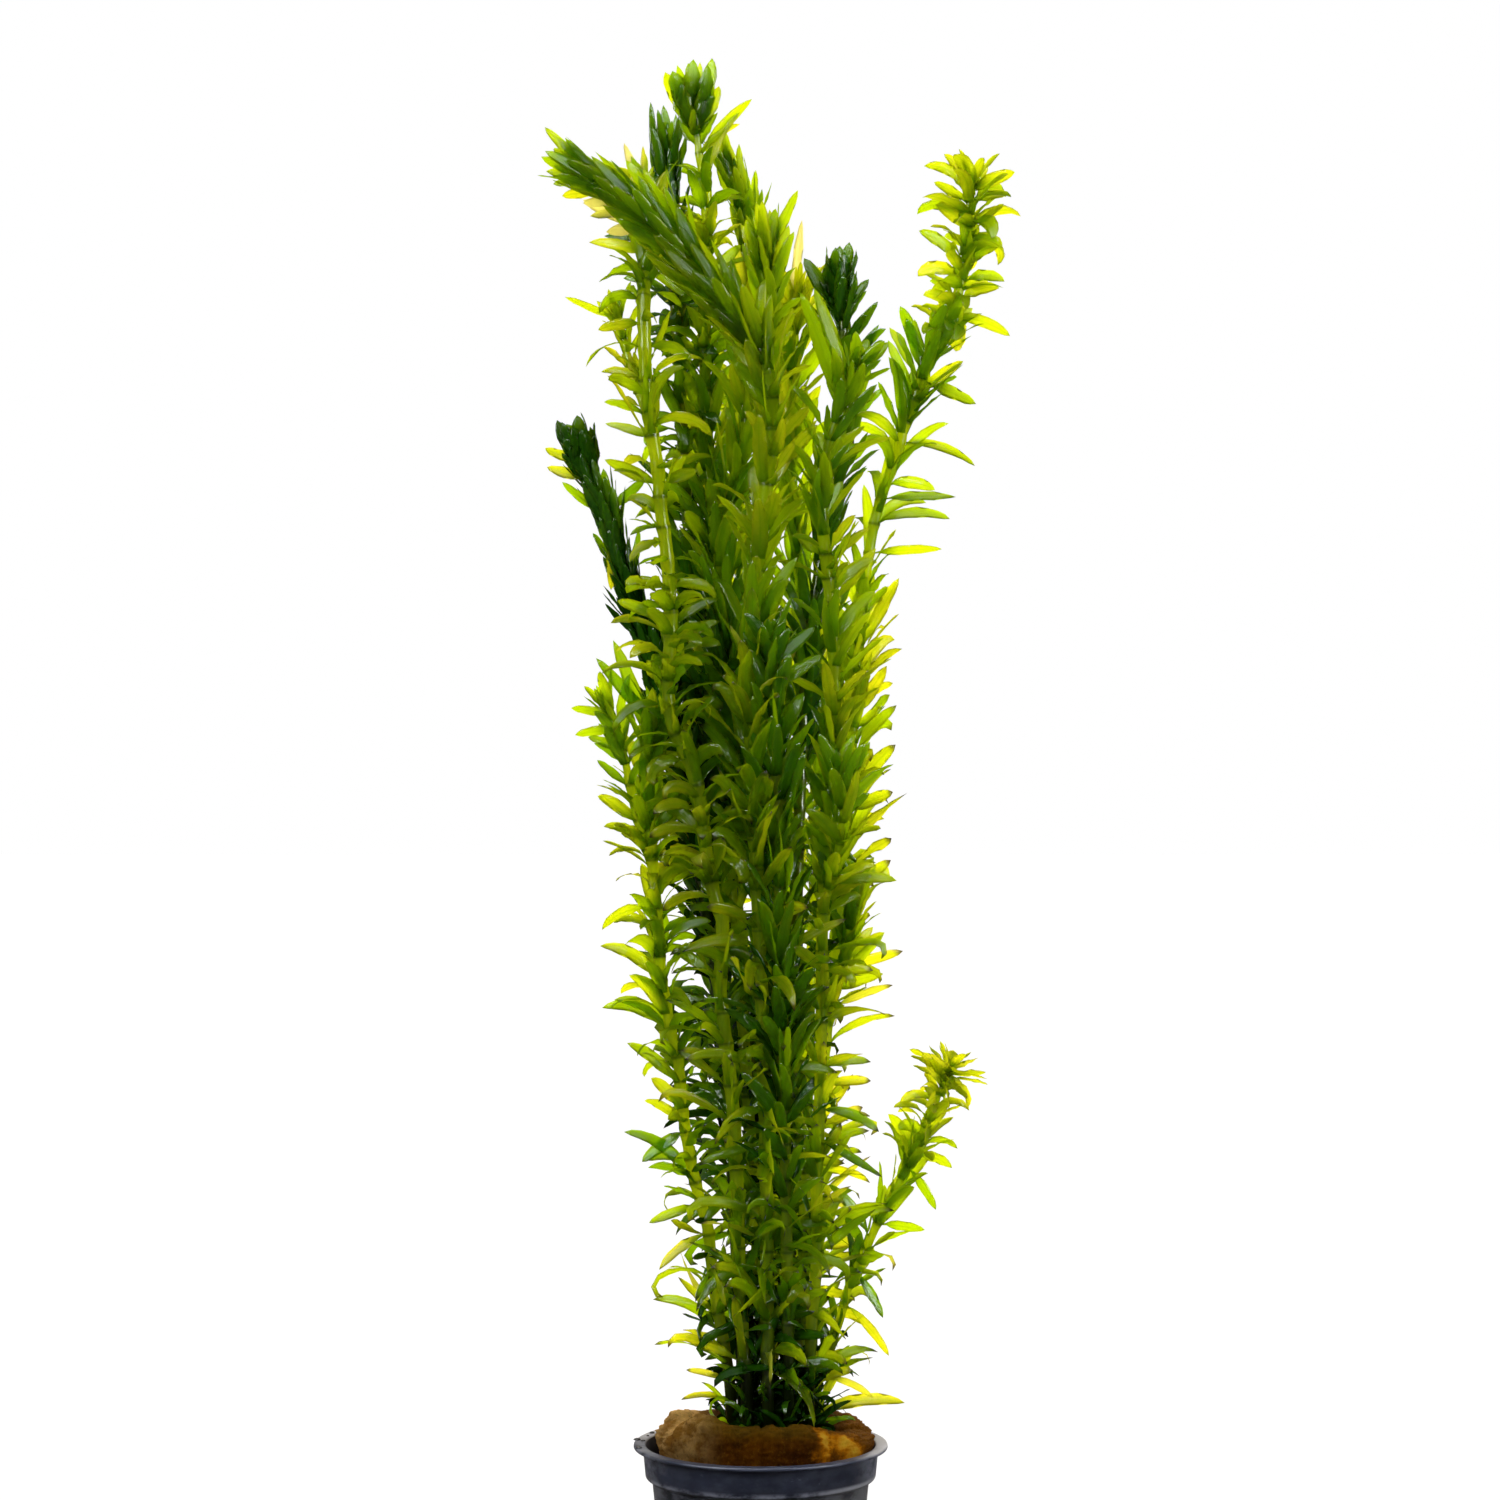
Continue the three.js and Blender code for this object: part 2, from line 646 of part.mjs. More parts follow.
function makePot() {
  const underFlange = POT_HEIGHT - FLANGE_THICKNESS;
  const bandFoot = underFlange - BAND_DEPTH;
  const stepFoot = bandFoot - STEP_DEPTH;
  const outline = [
    [0, 0], [FOOT_RADIUS - 2 * POT_EDGE, 0], [FOOT_RADIUS, 2 * POT_EDGE], [STEP_RADIUS, stepFoot],
    [BAND_LOW_RADIUS - POT_EDGE, stepFoot + POT_EDGE], [BAND_LOW_RADIUS, bandFoot],
    [BAND_TOP_RADIUS, underFlange], [FLANGE_RADIUS - POT_EDGE / 2, underFlange],
    [FLANGE_RADIUS, POT_HEIGHT - POT_EDGE], [FLANGE_RADIUS - POT_EDGE, POT_HEIGHT],
    [MOUTH_RADIUS + POT_EDGE, POT_HEIGHT], [MOUTH_RADIUS, POT_HEIGHT - POT_EDGE],
    [BAND_LOW_RADIUS - POT_WALL, bandFoot + POT_EDGE / 2], [STEP_RADIUS - POT_WALL, stepFoot],
    [FOOT_RADIUS - POT_WALL, POT_FLOOR], [0, POT_FLOOR],
  ];
  const lathe = new THREE.LatheGeometry(outline.map(([x, y]) => new THREE.Vector2(x, y)), POT_SIDES);
  lathe.rotateX(Math.PI / 2);
  return lathe;
}

// Rings of the wool from its foot over the rolled crest into the hollow where the stems stand, each with its
// part of the outer radius, the height of a low ring, and how much of the crest a high ring has
const WOOL_RINGS = [
  { part: 0.72, height: WOOL_FOOT },
  { part: 0.84, height: 26 },
  { part: 0.9, height: 41 },
  { part: 0.985, height: 45.5 },
  { part: 1, rise: -0.15 },
  { part: 0.95, rise: 0.45 },
  { part: 0.86, rise: 0.88 },
  { part: 0.76, rise: 1 },
  { part: 0.67, rise: 0.62 },
  { part: 0.6, rise: 0.14 },
  { part: 0.34, rise: 0 },
];

function woolPoint(ring, angle) {
  const lump = 0.5 * Math.sin(3 * angle + 0.6) + 0.4 * Math.sin(5 * angle + 2.1) + 0.3 * Math.sin(9 * angle);
  const radius = (WOOL_RADIUS + WOOL_LEAN * Math.cos(angle) + (WOOL_LUMP / 3) * (lump - 1)) * ring.part;
  const x = radius * Math.cos(angle);
  const y = radius * Math.sin(angle);
  if (ring.rise === undefined) {
    return new THREE.Vector3(x, y, ring.height);
  }
  const crest = WOOL_CREST + WOOL_SLOPE * x + WOOL_LUMP * lump - WOOL_LEAN * Math.sin(angle);
  return new THREE.Vector3(x, y, WOOL_HOLLOW + (crest - WOOL_HOLLOW) * ring.rise);
}

function makeWoolBody() {
  const rows = WOOL_RINGS.map((ring) =>
    Array.from({ length: WOOL_SIDES }, (_, side) => woolPoint(ring, (side * 2 * Math.PI) / WOOL_SIDES)),
  );
  const foot = new THREE.Vector3(0, 0, WOOL_FOOT);
  const top = new THREE.Vector3(0, 0, WOOL_HOLLOW);
  const triangles = [];
  for (let side = 0; side < WOOL_SIDES; side++) {
    const next = (side + 1) % WOOL_SIDES;
    triangles.push([foot, rows[0][next], rows[0][side]]);
    triangles.push([top, rows[rows.length - 1][side], rows[rows.length - 1][next]]);
    for (let row = 0; row < rows.length - 1; row++) {
      triangles.push([rows[row][side], rows[row][next], rows[row + 1][next]]);
      triangles.push([rows[row][side], rows[row + 1][next], rows[row + 1][side]]);
    }
  }
  return triangles;
}

// A socket follows the straight stretch of a stem below its collar
function socketTriangles(shoot, collar, root) {
  const radius = (shoot.stem + SOCKET_GAP) / Math.cos(Math.PI / SOCKET_SIDES);
  const end = root.clone().addScaledVector(collar.clone().sub(root).normalize(), -SOCKET_GAP);
  const [upper, lower] = [collar, end].map((centre) =>
    Array.from({ length: SOCKET_SIDES }, (_, side) => {
      const angle = (side * 2 * Math.PI) / SOCKET_SIDES;
      return centre.clone().add(new THREE.Vector3(radius * Math.cos(angle), radius * Math.sin(angle), 0));
    }),
  );
  const triangles = [];
  for (let side = 0; side < SOCKET_SIDES; side++) {
    const next = (side + 1) % SOCKET_SIDES;
    triangles.push([upper[side], lower[side], lower[next]], [upper[side], lower[next], upper[next]]);
    triangles.push([collar, upper[side], upper[next]], [end, lower[next], lower[side]]);
  }
  return triangles;
}

const plastic = new THREE.MeshStandardMaterial({ name: "plastic", color: 0x2a2d33, roughness: 0.45 });
const wool = new THREE.MeshStandardMaterial({ name: "wool", color: 0x7b4a1c, roughness: 1 });
const leafGreens = [0x5d8a12, 0x3f7410, 0x86a816, 0x2f5f12];

const plant = new THREE.Group();

function addMesh(name, geometry, material) {
  const mesh = new THREE.Mesh(geometry, material);
  mesh.name = name;
  plant.add(mesh);
}

const lines = new Map(SHOOTS.map((shoot) => [shoot.name, stemLine(shoot)]));
const stems = new Map(SHOOTS.map((shoot) => [shoot.name, bareStem(shoot, lines)]));
const WOOL_HOLDER = SHOOTS.length;
const woolBody = makeWoolBody();

let woolSolid = solidFrom(geometryFrom(woolBody));
for (const shoot of SHOOTS.filter(({ from }) => !from)) {
  const { rings } = stems.get(shoot.name);
  const [collar, root] = rings.slice(-2).map((ring) => ring.centre);
  woolSolid = woolSolid.subtract(solidFrom(geometryFrom(socketTriangles(shoot, collar, root))));
}

for (const shoot of SHOOTS) {
  hold(stemTriangles(stems.get(shoot.name)), shoot.number);
}
hold(woolBody, WOOL_HOLDER);

addMesh("pot", makePot(), plastic);
addMesh("rock_wool", geometryOfSolid(woolSolid), wool);
for (const shoot of SHOOTS) {
  const stem = stems.get(shoot.name);
  growLeaves(shoot, stem.rings, stem.corners);
  const green = new THREE.MeshStandardMaterial({
    name: "waterweed",
    color: leafGreens[shoot.number % leafGreens.length],
    roughness: 0.5,
  });
  addMesh(shoot.name, geometryFrom(stemTriangles(stem)), green);
}

export default plant;
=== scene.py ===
"""Potted Canadian waterweed: leafy shoots wrapped in mineral wool, in a small round plastic pot.

Shapes are in millimetres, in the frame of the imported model, and go into Blender in metres.
"""

import math

import bpy
import numpy as np
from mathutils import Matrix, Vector, noise


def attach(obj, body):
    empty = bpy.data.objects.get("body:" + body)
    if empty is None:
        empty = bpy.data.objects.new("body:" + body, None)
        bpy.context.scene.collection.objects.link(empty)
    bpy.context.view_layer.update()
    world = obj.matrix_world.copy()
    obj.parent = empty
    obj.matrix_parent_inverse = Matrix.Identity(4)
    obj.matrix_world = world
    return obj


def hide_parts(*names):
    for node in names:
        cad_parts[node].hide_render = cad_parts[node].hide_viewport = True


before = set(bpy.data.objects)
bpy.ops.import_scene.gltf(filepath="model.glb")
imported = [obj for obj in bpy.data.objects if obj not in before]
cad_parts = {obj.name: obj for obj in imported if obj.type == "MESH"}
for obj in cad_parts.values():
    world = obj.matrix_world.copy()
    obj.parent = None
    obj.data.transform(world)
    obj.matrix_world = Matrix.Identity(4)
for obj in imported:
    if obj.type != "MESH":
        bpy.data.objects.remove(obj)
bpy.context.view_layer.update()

MM = 0.001
TURN = 2 * math.pi
AWAY = np.array([0.0, 1.0, 0.0])

# The eye that looks level along +Y. Across and down are counted in steps of its 1500 step frame.
EYE_BACK = 767
EYE_HEIGHT = 200
EYE_SIDE = -2.3
EYE_FOCAL = 3542
EYE_MIDDLE = 750
WOOL_DOWN = 1400
SPREAD_STEPS = 600

# Stems: their lowest point in the wool, the height of the first leaves, and the thicker rings at the whorls
ROOT_HEIGHT = 35
STEM_FOOT_HEIGHT = 41
FIRST_WHORL_HEIGHT = 66
FORK_GAP = 1.5
LINE_STEPS = 12
STEM_SIDES = 10
STEM_STEP = 1.3
STEM_START = -0.5
STEM_POINT = -1.4
STEM_TIP_RADIUS = 0.55
STEM_TAPER = 30
TAPER_START = 4
YOUNG_STEM = 0.85
OLD_STEM = 0.88
NODE_BULGE = 0.2
NODE_REACH = 0.9

# Shade between the stems. It is deepest close above the wool and near the middle of the bunch.
SHADE = 1.1
SHADE_FROM = 52
SHADE_REACH = 36
SHADE_RADIUS = 10.5
SHADE_SPREAD = 1.4
SHADE_FADE = 6
SHADE_MIDDLE = 3.3
SHADE_LEAN = 80
LEAF_SHADE = 0.37
STEM_SHADE = 0.05
INNER_FROM = 150
INNER_REACH = 110

# Leaves. Four grow in a whorl, short ones stand close above the wool at the base heights, and each kind of
# leaf has its own seed.
CORNERS = 4
BASE_HEIGHTS = [53, 55.5, 58, 61, 65]
BASE_LEAF = 0.6
WHORL_SEED = 1
BETWEEN_SEED = 51
BUD_SEED = 101
BASE_SEED = 151
SPACING_SALT = 20
CLOSEST = 0.78
UNEVEN = 0.44
FIRST_WHORL = 1.8
BUD_LEAVES = 8
BUD_STEP = 0.3
BUD_TURN = 2.4
TWIST = 0.02
TURN_APART = 0.7
JITTER = math.radians(24)
ROLL = math.radians(125)
YOUNG_TWIST = 90
OLD_TWIST = 190
SWAY = 0.5
LEAST_FOLD = 5
MORE_FOLD = 16
YOUNG_BLUNT = 4.8
OLD_BLUNT = 6.5
YELLOW_FROM = 0.84
MOOD_PACE = 0.07
OLD_AFTER = 60
OLD_REACH = 100
LEAF_RING = 8
LEAF_SECTIONS = np.array([0, 0.1, 0.23, 0.38, 0.54, 0.69, 0.82, 0.92])
LEAF_ACROSS = np.array([-1, -0.5, 0, 0.5, 1, 0.5, 0, -0.5])
LEAF_SIDE = np.array([0, 1, 1, 1, 0, -1, -1, -1])
LEAF_POINTS = LEAF_RING * len(LEAF_SECTIONS) + 1
LEAF_EDGE = 0.05
LEAF_RIB = 0.16
LEAF_WAVE = 0.12
LEAF_WAVES = 17
HOOK_FROM = 0.72
FOOT_WIDTH = 0.72
FULL_WIDTH_AT = 0.35

# A leaf that is traced keeps within these widths, as shares of its length.
TRACED_WIDTHS = (0.16, 0.34)
TRACED_ROLL = math.radians(60)
TRACE_TURN_COST = 12

# How leaves stand. Open is the angle from the stem and curl is the bend, in degrees. Length and spacing, the
# distance of the whorls, are in millimetres, and wide is a share of the length. Between is how many of the
# leaves between two whorls there are, missing is how many of a whorl have gone, wild is how much they differ,
# and shift is added to the tone of the shoot.
TRAITS = ["open", "curl", "length", "wide", "spacing", "between", "missing", "wild", "shift"]
HABITS = {
    "bud": [18, 6, 11, 0.25, 3.2, 0.4, 0, 0.7, -0.1],
    "cup": [40, -42, 12.6, 0.42, 2.2, 1, 0, 0.35, -0.14],
    "crown": [37, 46, 12.2, 0.28, 2.6, 0.6, 0, 1, 0.05],
    "bare": [40, 40, 5, 0.3, 5, 0, 0.7, 1, 0],
    "sleeve": [21, -15, 15, 0.2, 4.2, 0.95, 0, 0.5, -0.1],
    "shaded": [24, 6, 13.5, 0.23, 5, 0.7, 0, 1, -0.3],
    "brush": [28, 18, 13.4, 0.225, 6.4, 0.7, 0.05, 1.1, 0],
    "glossy": [30, 16, 13, 0.24, 6.2, 0.55, 0.05, 1.1, 0.18],
    "upright": [20, 10, 14.2, 0.215, 5.8, 0.7, 0.03, 1, -0.04],
    "arching": [36, 74, 11.4, 0.27, 5.4, 0.6, 0, 0.95, 0.05],
    "sparse": [44, 52, 12.5, 0.2, 6, 0.25, 0.25, 1.3, 0.08],
    "frilly": [46, 74, 9.8, 0.33, 3.7, 0.9, 0, 1.2, 0.15],
    "rosette": [60, -4, 10.4, 0.38, 1.8, 0.9, 0, 0.5, 0.05],
    "loose": [46, 44, 15.2, 0.15, 8.2, 0.42, 0.08, 1.35, 0.12],
}

USUAL = {
    "row": 0, "stem": 1.4, "tone": 0.5, "scale": 1, "fork": False, "leaves": [],
    "habits": [[0, "bud"], [12, 90, "upright"], [140, "loose"]],
}

# Each point of a route is [across, down] or [across, down, row], from the wool or the fork up to the tip. The
# row is the distance behind the pot's axis at the wool, and it fans out with height. Fork tells that a shoot
# grows out of another one. A leaf is [across, down] of its foot, then of its tip, and may end with its own
# tone. The tone goes from 0, deep green, to 1, yellow. A habit comes after one or two distances from the tip.
# It holds there and between them, and from one habit to the next the leaves change slowly.
SHOOTS = [
    {"name": "shoot_tallest", "row": 1.2, "route": [
        [766, 1400, -2], [757, 1250, -1.4], [748, 1100, -0.8], [738, 950, 0], [728, 800], [721, 690],
        [717, 600], [711, 520], [709, 459], [707, 427], [705, 371], [705, 290], [707, 210], [706, 183],
        [700, 160], [694, 108],
    ], "habits": [
        [0, 5.5, "cup"], [6.5, 14, "bare"], [17, 50, "arching"], [70, 110, "upright"], [150, "loose"],
    ], "leaves": [
        [690, 120, 665, 72, 0.62], [694, 120, 688, 63, 0.25], [696, 120, 712, 58, 0.35],
        [700, 126, 719, 86, 0.6], [697, 124, 700, 62, 0.6], [688, 128, 677, 65, 0.5],
        [711, 122, 752, 99, 0.6], [714, 130, 740, 112, 0.8], [722, 150, 740, 124, 0.9],
    ]},
    {"name": "shoot_bowing_left", "row": -7.5, "tone": 0.6, "stem": 1.6, "scale": 1.08, "route": [
        [768, 1400], [767, 1250], [765, 1100], [760, 950], [754, 820], [750, 700], [755, 600], [765, 500],
        [772, 430], [768, 375], [750, 338], [728, 310], [708, 286], [688, 258], [664, 229], [638, 208],
        [607, 189], [584, 173],
    ], "habits": [[0, "bud"], [6, 44, "sleeve"], [58, 84, "glossy"], [105, 150, "upright"], [190, "loose"]],
     "leaves": [
        [618, 200, 583, 203, 1.3], [630, 215, 590, 216, 1.2], [640, 225, 606, 232, 1.3],
        [596, 186, 562, 196, 0.9], [592, 166, 566, 140, 0], [586, 168, 557, 150], [584, 173, 546, 171],
        [590, 178, 553, 184],
    ]},
    {"name": "shoot_dark_brush", "row": 2.5, "tone": 0, "route": [
        [768, 1400], [767, 1289], [762, 1222], [760, 1160], [752, 1050], [742, 940], [725, 830], [705, 720],
        [695, 620], [689, 540], [684, 460], [680, 380], [675, 300], [670, 240], [667, 200], [667, 168],
    ], "habits": [[0, 20, "sleeve"], [32, 75, "arching"], [100, 130, "upright"], [170, "loose"]], "leaves": [
        [661, 190, 651, 108], [664, 230, 604, 236],
    ]},
    {"name": "shoot_beside_tallest", "row": 7, "tone": 0.72, "scale": 0.85, "route": [
        [772, 1400], [775, 1250], [778, 1100], [776, 950], [768, 800], [758, 700], [750, 600], [742, 500],
        [735, 420], [740, 350], [748, 300, 6], [751, 269, 5.4], [749, 240, 4.8], [747, 217, 4.4],
        [738, 193, 4], [728, 170, 3.6],
    ], "habits": [[0, "bud"], [5, 26, "sleeve"], [40, 80, "arching"], [100, "upright"], [150, "loose"]]},
    {"name": "shoot_centre_high", "row": -2.5, "tone": 0.62, "route": [
        [797, 1400], [802, 1300], [805, 1200], [798, 1145], [787, 1082], [783, 1038], [774, 976], [766, 910],
        [763, 860], [755, 829], [749, 794], [741, 738], [732, 687], [727, 636], [720, 575], [722, 520],
        [735, 480], [745, 440], [749, 400], [757, 365], [766, 335], [769, 300], [767, 270], [767, 244],
    ], "habits": [
        [0, "bud"], [6, "sleeve"], [14, 40, "brush"], [62, 100, "shaded"], [120, 140, "upright"],
        [170, "loose"],
    ], "leaves": [[771, 250, 798, 190]]},
    {"name": "shoot_dark_right", "row": 2, "tone": 0.05, "scale": 0.85, "route": [
        [787, 1400], [790, 1250], [793, 1100], [796, 950], [800, 800], [806, 680], [818, 580], [834, 500],
        [848, 440], [849, 400], [843, 360], [843, 329], [840, 300], [840, 284],
    ], "habits": [[0, 4, "cup"], [9, 30, "brush"], [50, 90, "upright"], [130, "loose"]], "leaves": [
        [852, 312, 869, 279], [822, 320, 804, 258], [830, 322, 824, 282],
    ]},
    {"name": "shoot_right_arm", "row": 3, "tone": 0.6, "stem": 1.3, "route": [
        [812, 1400], [813, 1300], [817, 1150], [830, 1000], [843, 870], [850, 760], [858, 650], [868, 560],
        [879, 505], [897, 455], [905, 424], [919, 388], [927, 362], [939, 337], [953, 311], [960, 285],
        [965, 261], [969, 233], [969, 207], [972, 182],
    ], "habits": [
        [0, 3, "crown"], [8, 32, "frilly"], [38, 56, "shaded"], [62, 88, "sparse"], [100, 150, "brush"],
        [180, "loose"],
    ], "leaves": [
        [884, 500, 956, 497], [882, 522, 950, 519], [876, 556, 942, 549], [962, 318, 1010, 336],
        [912, 392, 888, 340], [936, 380, 976, 404], [905, 450, 975, 466], [920, 350, 900, 306],
        [866, 640, 899, 578], [858, 700, 893, 683], [852, 740, 880, 706], [846, 800, 893, 792],
        [968, 178, 944, 154], [974, 182, 1015, 172], [970, 190, 934, 182], [972, 196, 1009, 194],
        [838, 905, 891, 860], [836, 965, 903, 951], [830, 990, 893, 985], [824, 1030, 895, 1016],
        [822, 1068, 871, 1081, 1], [820, 1135, 863, 1107, 1.1], [816, 1190, 871, 1156, 1.1],
        [815, 1180, 870, 1183, 0.9], [813, 1260, 862, 1238, 1],
    ]},
    {"name": "shoot_left_dark", "row": 1.2, "tone": -0.15, "scale": 0.8, "route": [
        [743, 1400], [736, 1250], [727, 1100], [712, 950], [690, 820], [668, 720], [658, 678], [652, 652],
        [642, 629], [635, 610], [627, 581], [618, 552], [610, 523], [600, 499], [589, 472], [580, 450],
    ], "habits": [[0, 4, "cup"], [9, 66, "sleeve"], [85, "brush"], [130, "loose"]], "leaves": [
        [585, 470, 557, 420], [575, 455, 545, 448, 0.7], [588, 480, 547, 467, 0.8],
        [600, 505, 562, 482, 0.3], [611, 508, 646, 477, 0.1], [626, 572, 639, 530, 0.2],
        [612, 545, 611, 590, 1],
    ]},
    {"name": "shoot_low_left", "row": -3, "tone": 0.55, "route": [
        [731, 1400], [722, 1334], [715, 1295], [711, 1256], [708, 1229], [702, 1207], [693, 1172],
        [685, 1127], [681, 1095], [678, 1059], [671, 1032], [666, 1003], [661, 976], [658, 926], [654, 879],
        [651, 852], [649, 819], [648, 786], [650, 753], [656, 718],
    ], "habits": [[0, "bud"], [8, 20, "brush"], [35, 85, "arching"], [120, "loose"]], "leaves": [
        [650, 722, 596, 658], [652, 735, 613, 640], [656, 918, 602, 930], [659, 976, 600, 946],
        [665, 1034, 602, 1008], [666, 1040, 614, 1000], [676, 1072, 627, 1043], [688, 1172, 624, 1132],
        [686, 1160, 644, 1160], [696, 1196, 649, 1223], [708, 1245, 659, 1270], [718, 1300, 678, 1277],
        [727, 1345, 682, 1330, 1], [731, 1398, 681, 1400, 0.9], [728, 1352, 686, 1370, 1.1],
        [731, 1402, 701, 1382, 0.5], [680, 1105, 651, 1078], [686, 1135, 642, 1162, 0.2],
        [697, 1196, 648, 1168, 0.2],
    ]},
    {"name": "shoot_low_right", "row": -1.5, "tone": 0.55, "stem": 1.05, "scale": 0.85, "route": [
        [816, 1400], [824, 1370], [834, 1338], [841, 1316], [846, 1295], [853, 1275], [866, 1249],
        [878, 1222], [891, 1199], [905, 1172], [917, 1145], [928, 1120], [937, 1099], [946, 1079],
        [953, 1062],
    ], "habits": [[0, 3, "rosette"], [4.5, 21, "frilly"], [28, 48, "brush"], [60, "loose"]], "leaves": [
        [914, 1158, 952, 1168], [905, 1180, 936, 1210], [898, 1150, 888, 1114], [882, 1216, 925, 1230],
        [860, 1285, 883, 1318], [846, 1310, 889, 1356, 1], [820, 1396, 905, 1403, 1],
        [822, 1376, 874, 1399, 1.1], [816, 1400, 857, 1347, 0.7],
    ]},
    {"name": "shoot_clear_left", "row": -6.5, "stem": 1.6, "route": [
        [747, 1400], [743, 1340], [739, 1276], [737, 1185], [734, 1120], [728, 1059], [723, 1019],
        [720, 984], [722, 943], [722, 918], [713, 891], [706, 850], [700, 800], [690, 762], [672, 722],
        [668, 680], [671, 631], [670, 600], [666, 547], [661, 510], [658, 470], [651, 430], [647, 400],
        [645, 359], [644, 309, -6], [644, 270, -4], [645, 230, -1], [645, 190, 1],
    ], "habits": [
        [0, "bud"], [8, "brush"], [25, "arching"], [45, 85, "sparse"], [100, 150, "arching"], [180, "loose"],
    ], "leaves": [
        [640, 200, 624, 143, 1.4], [644, 196, 643, 146, 1.1], [636, 232, 583, 200, 1.3],
        [640, 335, 598, 330], [642, 385, 601, 372], [644, 412, 604, 402],
    ]},
    {"name": "shoot_back_left", "row": 5.5, "tone": -0.2, "scale": 1.1, "route": [
        [748, 1400], [740, 1250], [728, 1100], [712, 950], [698, 820], [690, 720], [688, 640], [690, 580],
        [691, 530], [690, 500],
    ], "habits": [[0, 90, "brush"], [140, "loose"]], "leaves": [
        [690, 520, 700, 462], [686, 530, 676, 476], [690, 540, 658, 500],
    ]},
    {"name": "shoot_right_fan", "row": -5.6, "tone": 0.48, "route": [
        [809, 1400], [812, 1320], [816, 1270], [817, 1191], [819, 1122], [821, 1043], [822, 943], [826, 860],
        [832, 780], [835, 700], [832, 620], [826, 560], [822, 500], [828, 450], [838, 415], [849, 388],
        [858, 366],
    ], "habits": [[0, "bud"], [12, 90, "brush"], [140, "loose"]], "leaves": [
        [850, 392, 814, 288], [848, 400, 800, 292], [862, 380, 889, 342], [820, 1102, 879, 1132, 0.3],
        [819, 1140, 882, 1177, 0.1], [817, 1204, 888, 1204, 0.6], [820, 1060, 871, 1062, 0.5],
    ]},
    {"name": "shoot_centre_mid", "row": -8.5, "tone": 0.25, "route": [
        [789, 1400], [787, 1250], [784, 1100], [781, 950], [778, 820], [775, 730], [772, 680], [769, 640],
    ], "leaves": [[776, 690, 822, 655], [775, 670, 815, 627]]},
    {"name": "shoot_back_right", "row": 6.5, "tone": 0.7, "route": [
        [797, 1400], [801, 1250], [806, 1100], [812, 950], [818, 820], [815, 700], [803, 600], [793, 520],
        [788, 450], [790, 380], [794, 330], [797, 300],
    ], "leaves": [[793, 285, 802, 220, 1.4]]},
    {"name": "side_shoot_left", "row": -3.5, "tone": 0.7, "stem": 1, "scale": 0.7, "fork": True, "route": [
        [650, 425, -6.5], [640, 396, -5], [631, 370, -4], [624, 340], [617, 312],
    ], "habits": [[0, "bud"], [8, "brush"]], "leaves": [[620, 318, 565, 297]]},
    {"name": "side_shoot_low_left", "row": -3, "tone": 0.6, "stem": 1.2, "scale": 0.8, "fork": True,
     "route": [
        [652, 866], [641, 830], [632, 795], [625, 760], [617, 728], [607, 706],
    ], "habits": [[0, "bud"], [8, "brush"]], "leaves": [
        [610, 715, 571, 708], [613, 725, 575, 735], [620, 745, 588, 737], [627, 785, 597, 760],
        [606, 708, 584, 686],
    ]},
    {"name": "side_shoot_right_upper", "row": -8.6, "tone": 0.6, "stem": 1.1, "fork": True, "route": [
        [824, 905, -5.6], [834, 870, -7.2], [841, 835, -8.2], [843, 805, -8.6], [841, 780, -8.8],
    ], "habits": [[0, "bud"], [8, "brush"]], "leaves": [[846, 790, 870, 742], [836, 800, 818, 752]]},
    {"name": "side_shoot_right_lower", "row": -1, "tone": 0.6, "stem": 1.1, "scale": 0.9, "fork": True,
     "route": [
        [831, 1005, 3], [842, 965, 1.2], [850, 930, -0.4], [854, 893],
    ], "habits": [[0, "bud"], [8, "brush"]]},
]


def scatter(a, b, c):
    """A number from 0 to 1 that looks random and is the same each time."""
    wave = math.sin(a * 12.9898 + b * 78.233 + c * 37.719) * 43758.5453
    return wave - math.floor(wave)


def chance_of(seed, ring, corner):
    """What decides the traits of a leaf: a number from 0 to 1 for each salt."""
    return lambda salt: scatter(seed, ring * CORNERS + corner, salt)


def smooth(value):
    part = min(max(value, 0), 1)
    return part * part * (3 - 2 * part)


def lerp(a, b, part):
    return a + (b - a) * part


def unit(vector):
    return vector / np.linalg.norm(vector)


def place_at_depth(across, down, depth):
    scale = (EYE_BACK + depth) / EYE_FOCAL
    x = EYE_SIDE + (across - EYE_MIDDLE) * scale
    z = EYE_HEIGHT - (down - EYE_MIDDLE) * scale
    return np.array([x, depth, z])


def place_of(across, down, row):
    return place_at_depth(across, down, row * (1 + (WOOL_DOWN - down) / SPREAD_STEPS))


def smooth_line(points):
    """A smooth line through the points, as short straight steps."""
    ends = np.vstack([2 * points[0] - points[1], points, 2 * points[-1] - points[-2]])
    steps = []
    for number in range(len(points) - 1):
        p0, p1, p2, p3 = ends[number : number + 4]
        t0 = 0.5 * (p2 - p0)
        t1 = 0.5 * (p3 - p1)
        for step in range(LINE_STEPS):
            t = step / LINE_STEPS
            square = -3 * p1 + 3 * p2 - 2 * t0 - t1
            cube = 2 * p1 - 2 * p2 + t0 + t1
            steps.append(p1 + t0 * t + square * t * t + cube * t**3)
    steps.append(points[-1])
    return np.array(steps)


def closed_faces(rows, sides):
    """The faces of a closed body: a point, rows of points round an axis, and a last point."""
    top = 1 + rows * sides
    last = top - sides
    faces = []
    for side in range(sides):
        after = (side + 1) % sides
        faces.append((0, 1 + after, 1 + side))
        faces.append((top, last + side, last + after))
        for row in range(rows - 1):
            a = 1 + row * sides + side
            b = 1 + row * sides + after
            faces.append((a, b, b + sides, a + sides))
    return faces


def shifted(faces, start):
    """The same faces for points that come after others."""
    return [tuple(start + k for k in face) for face in faces]


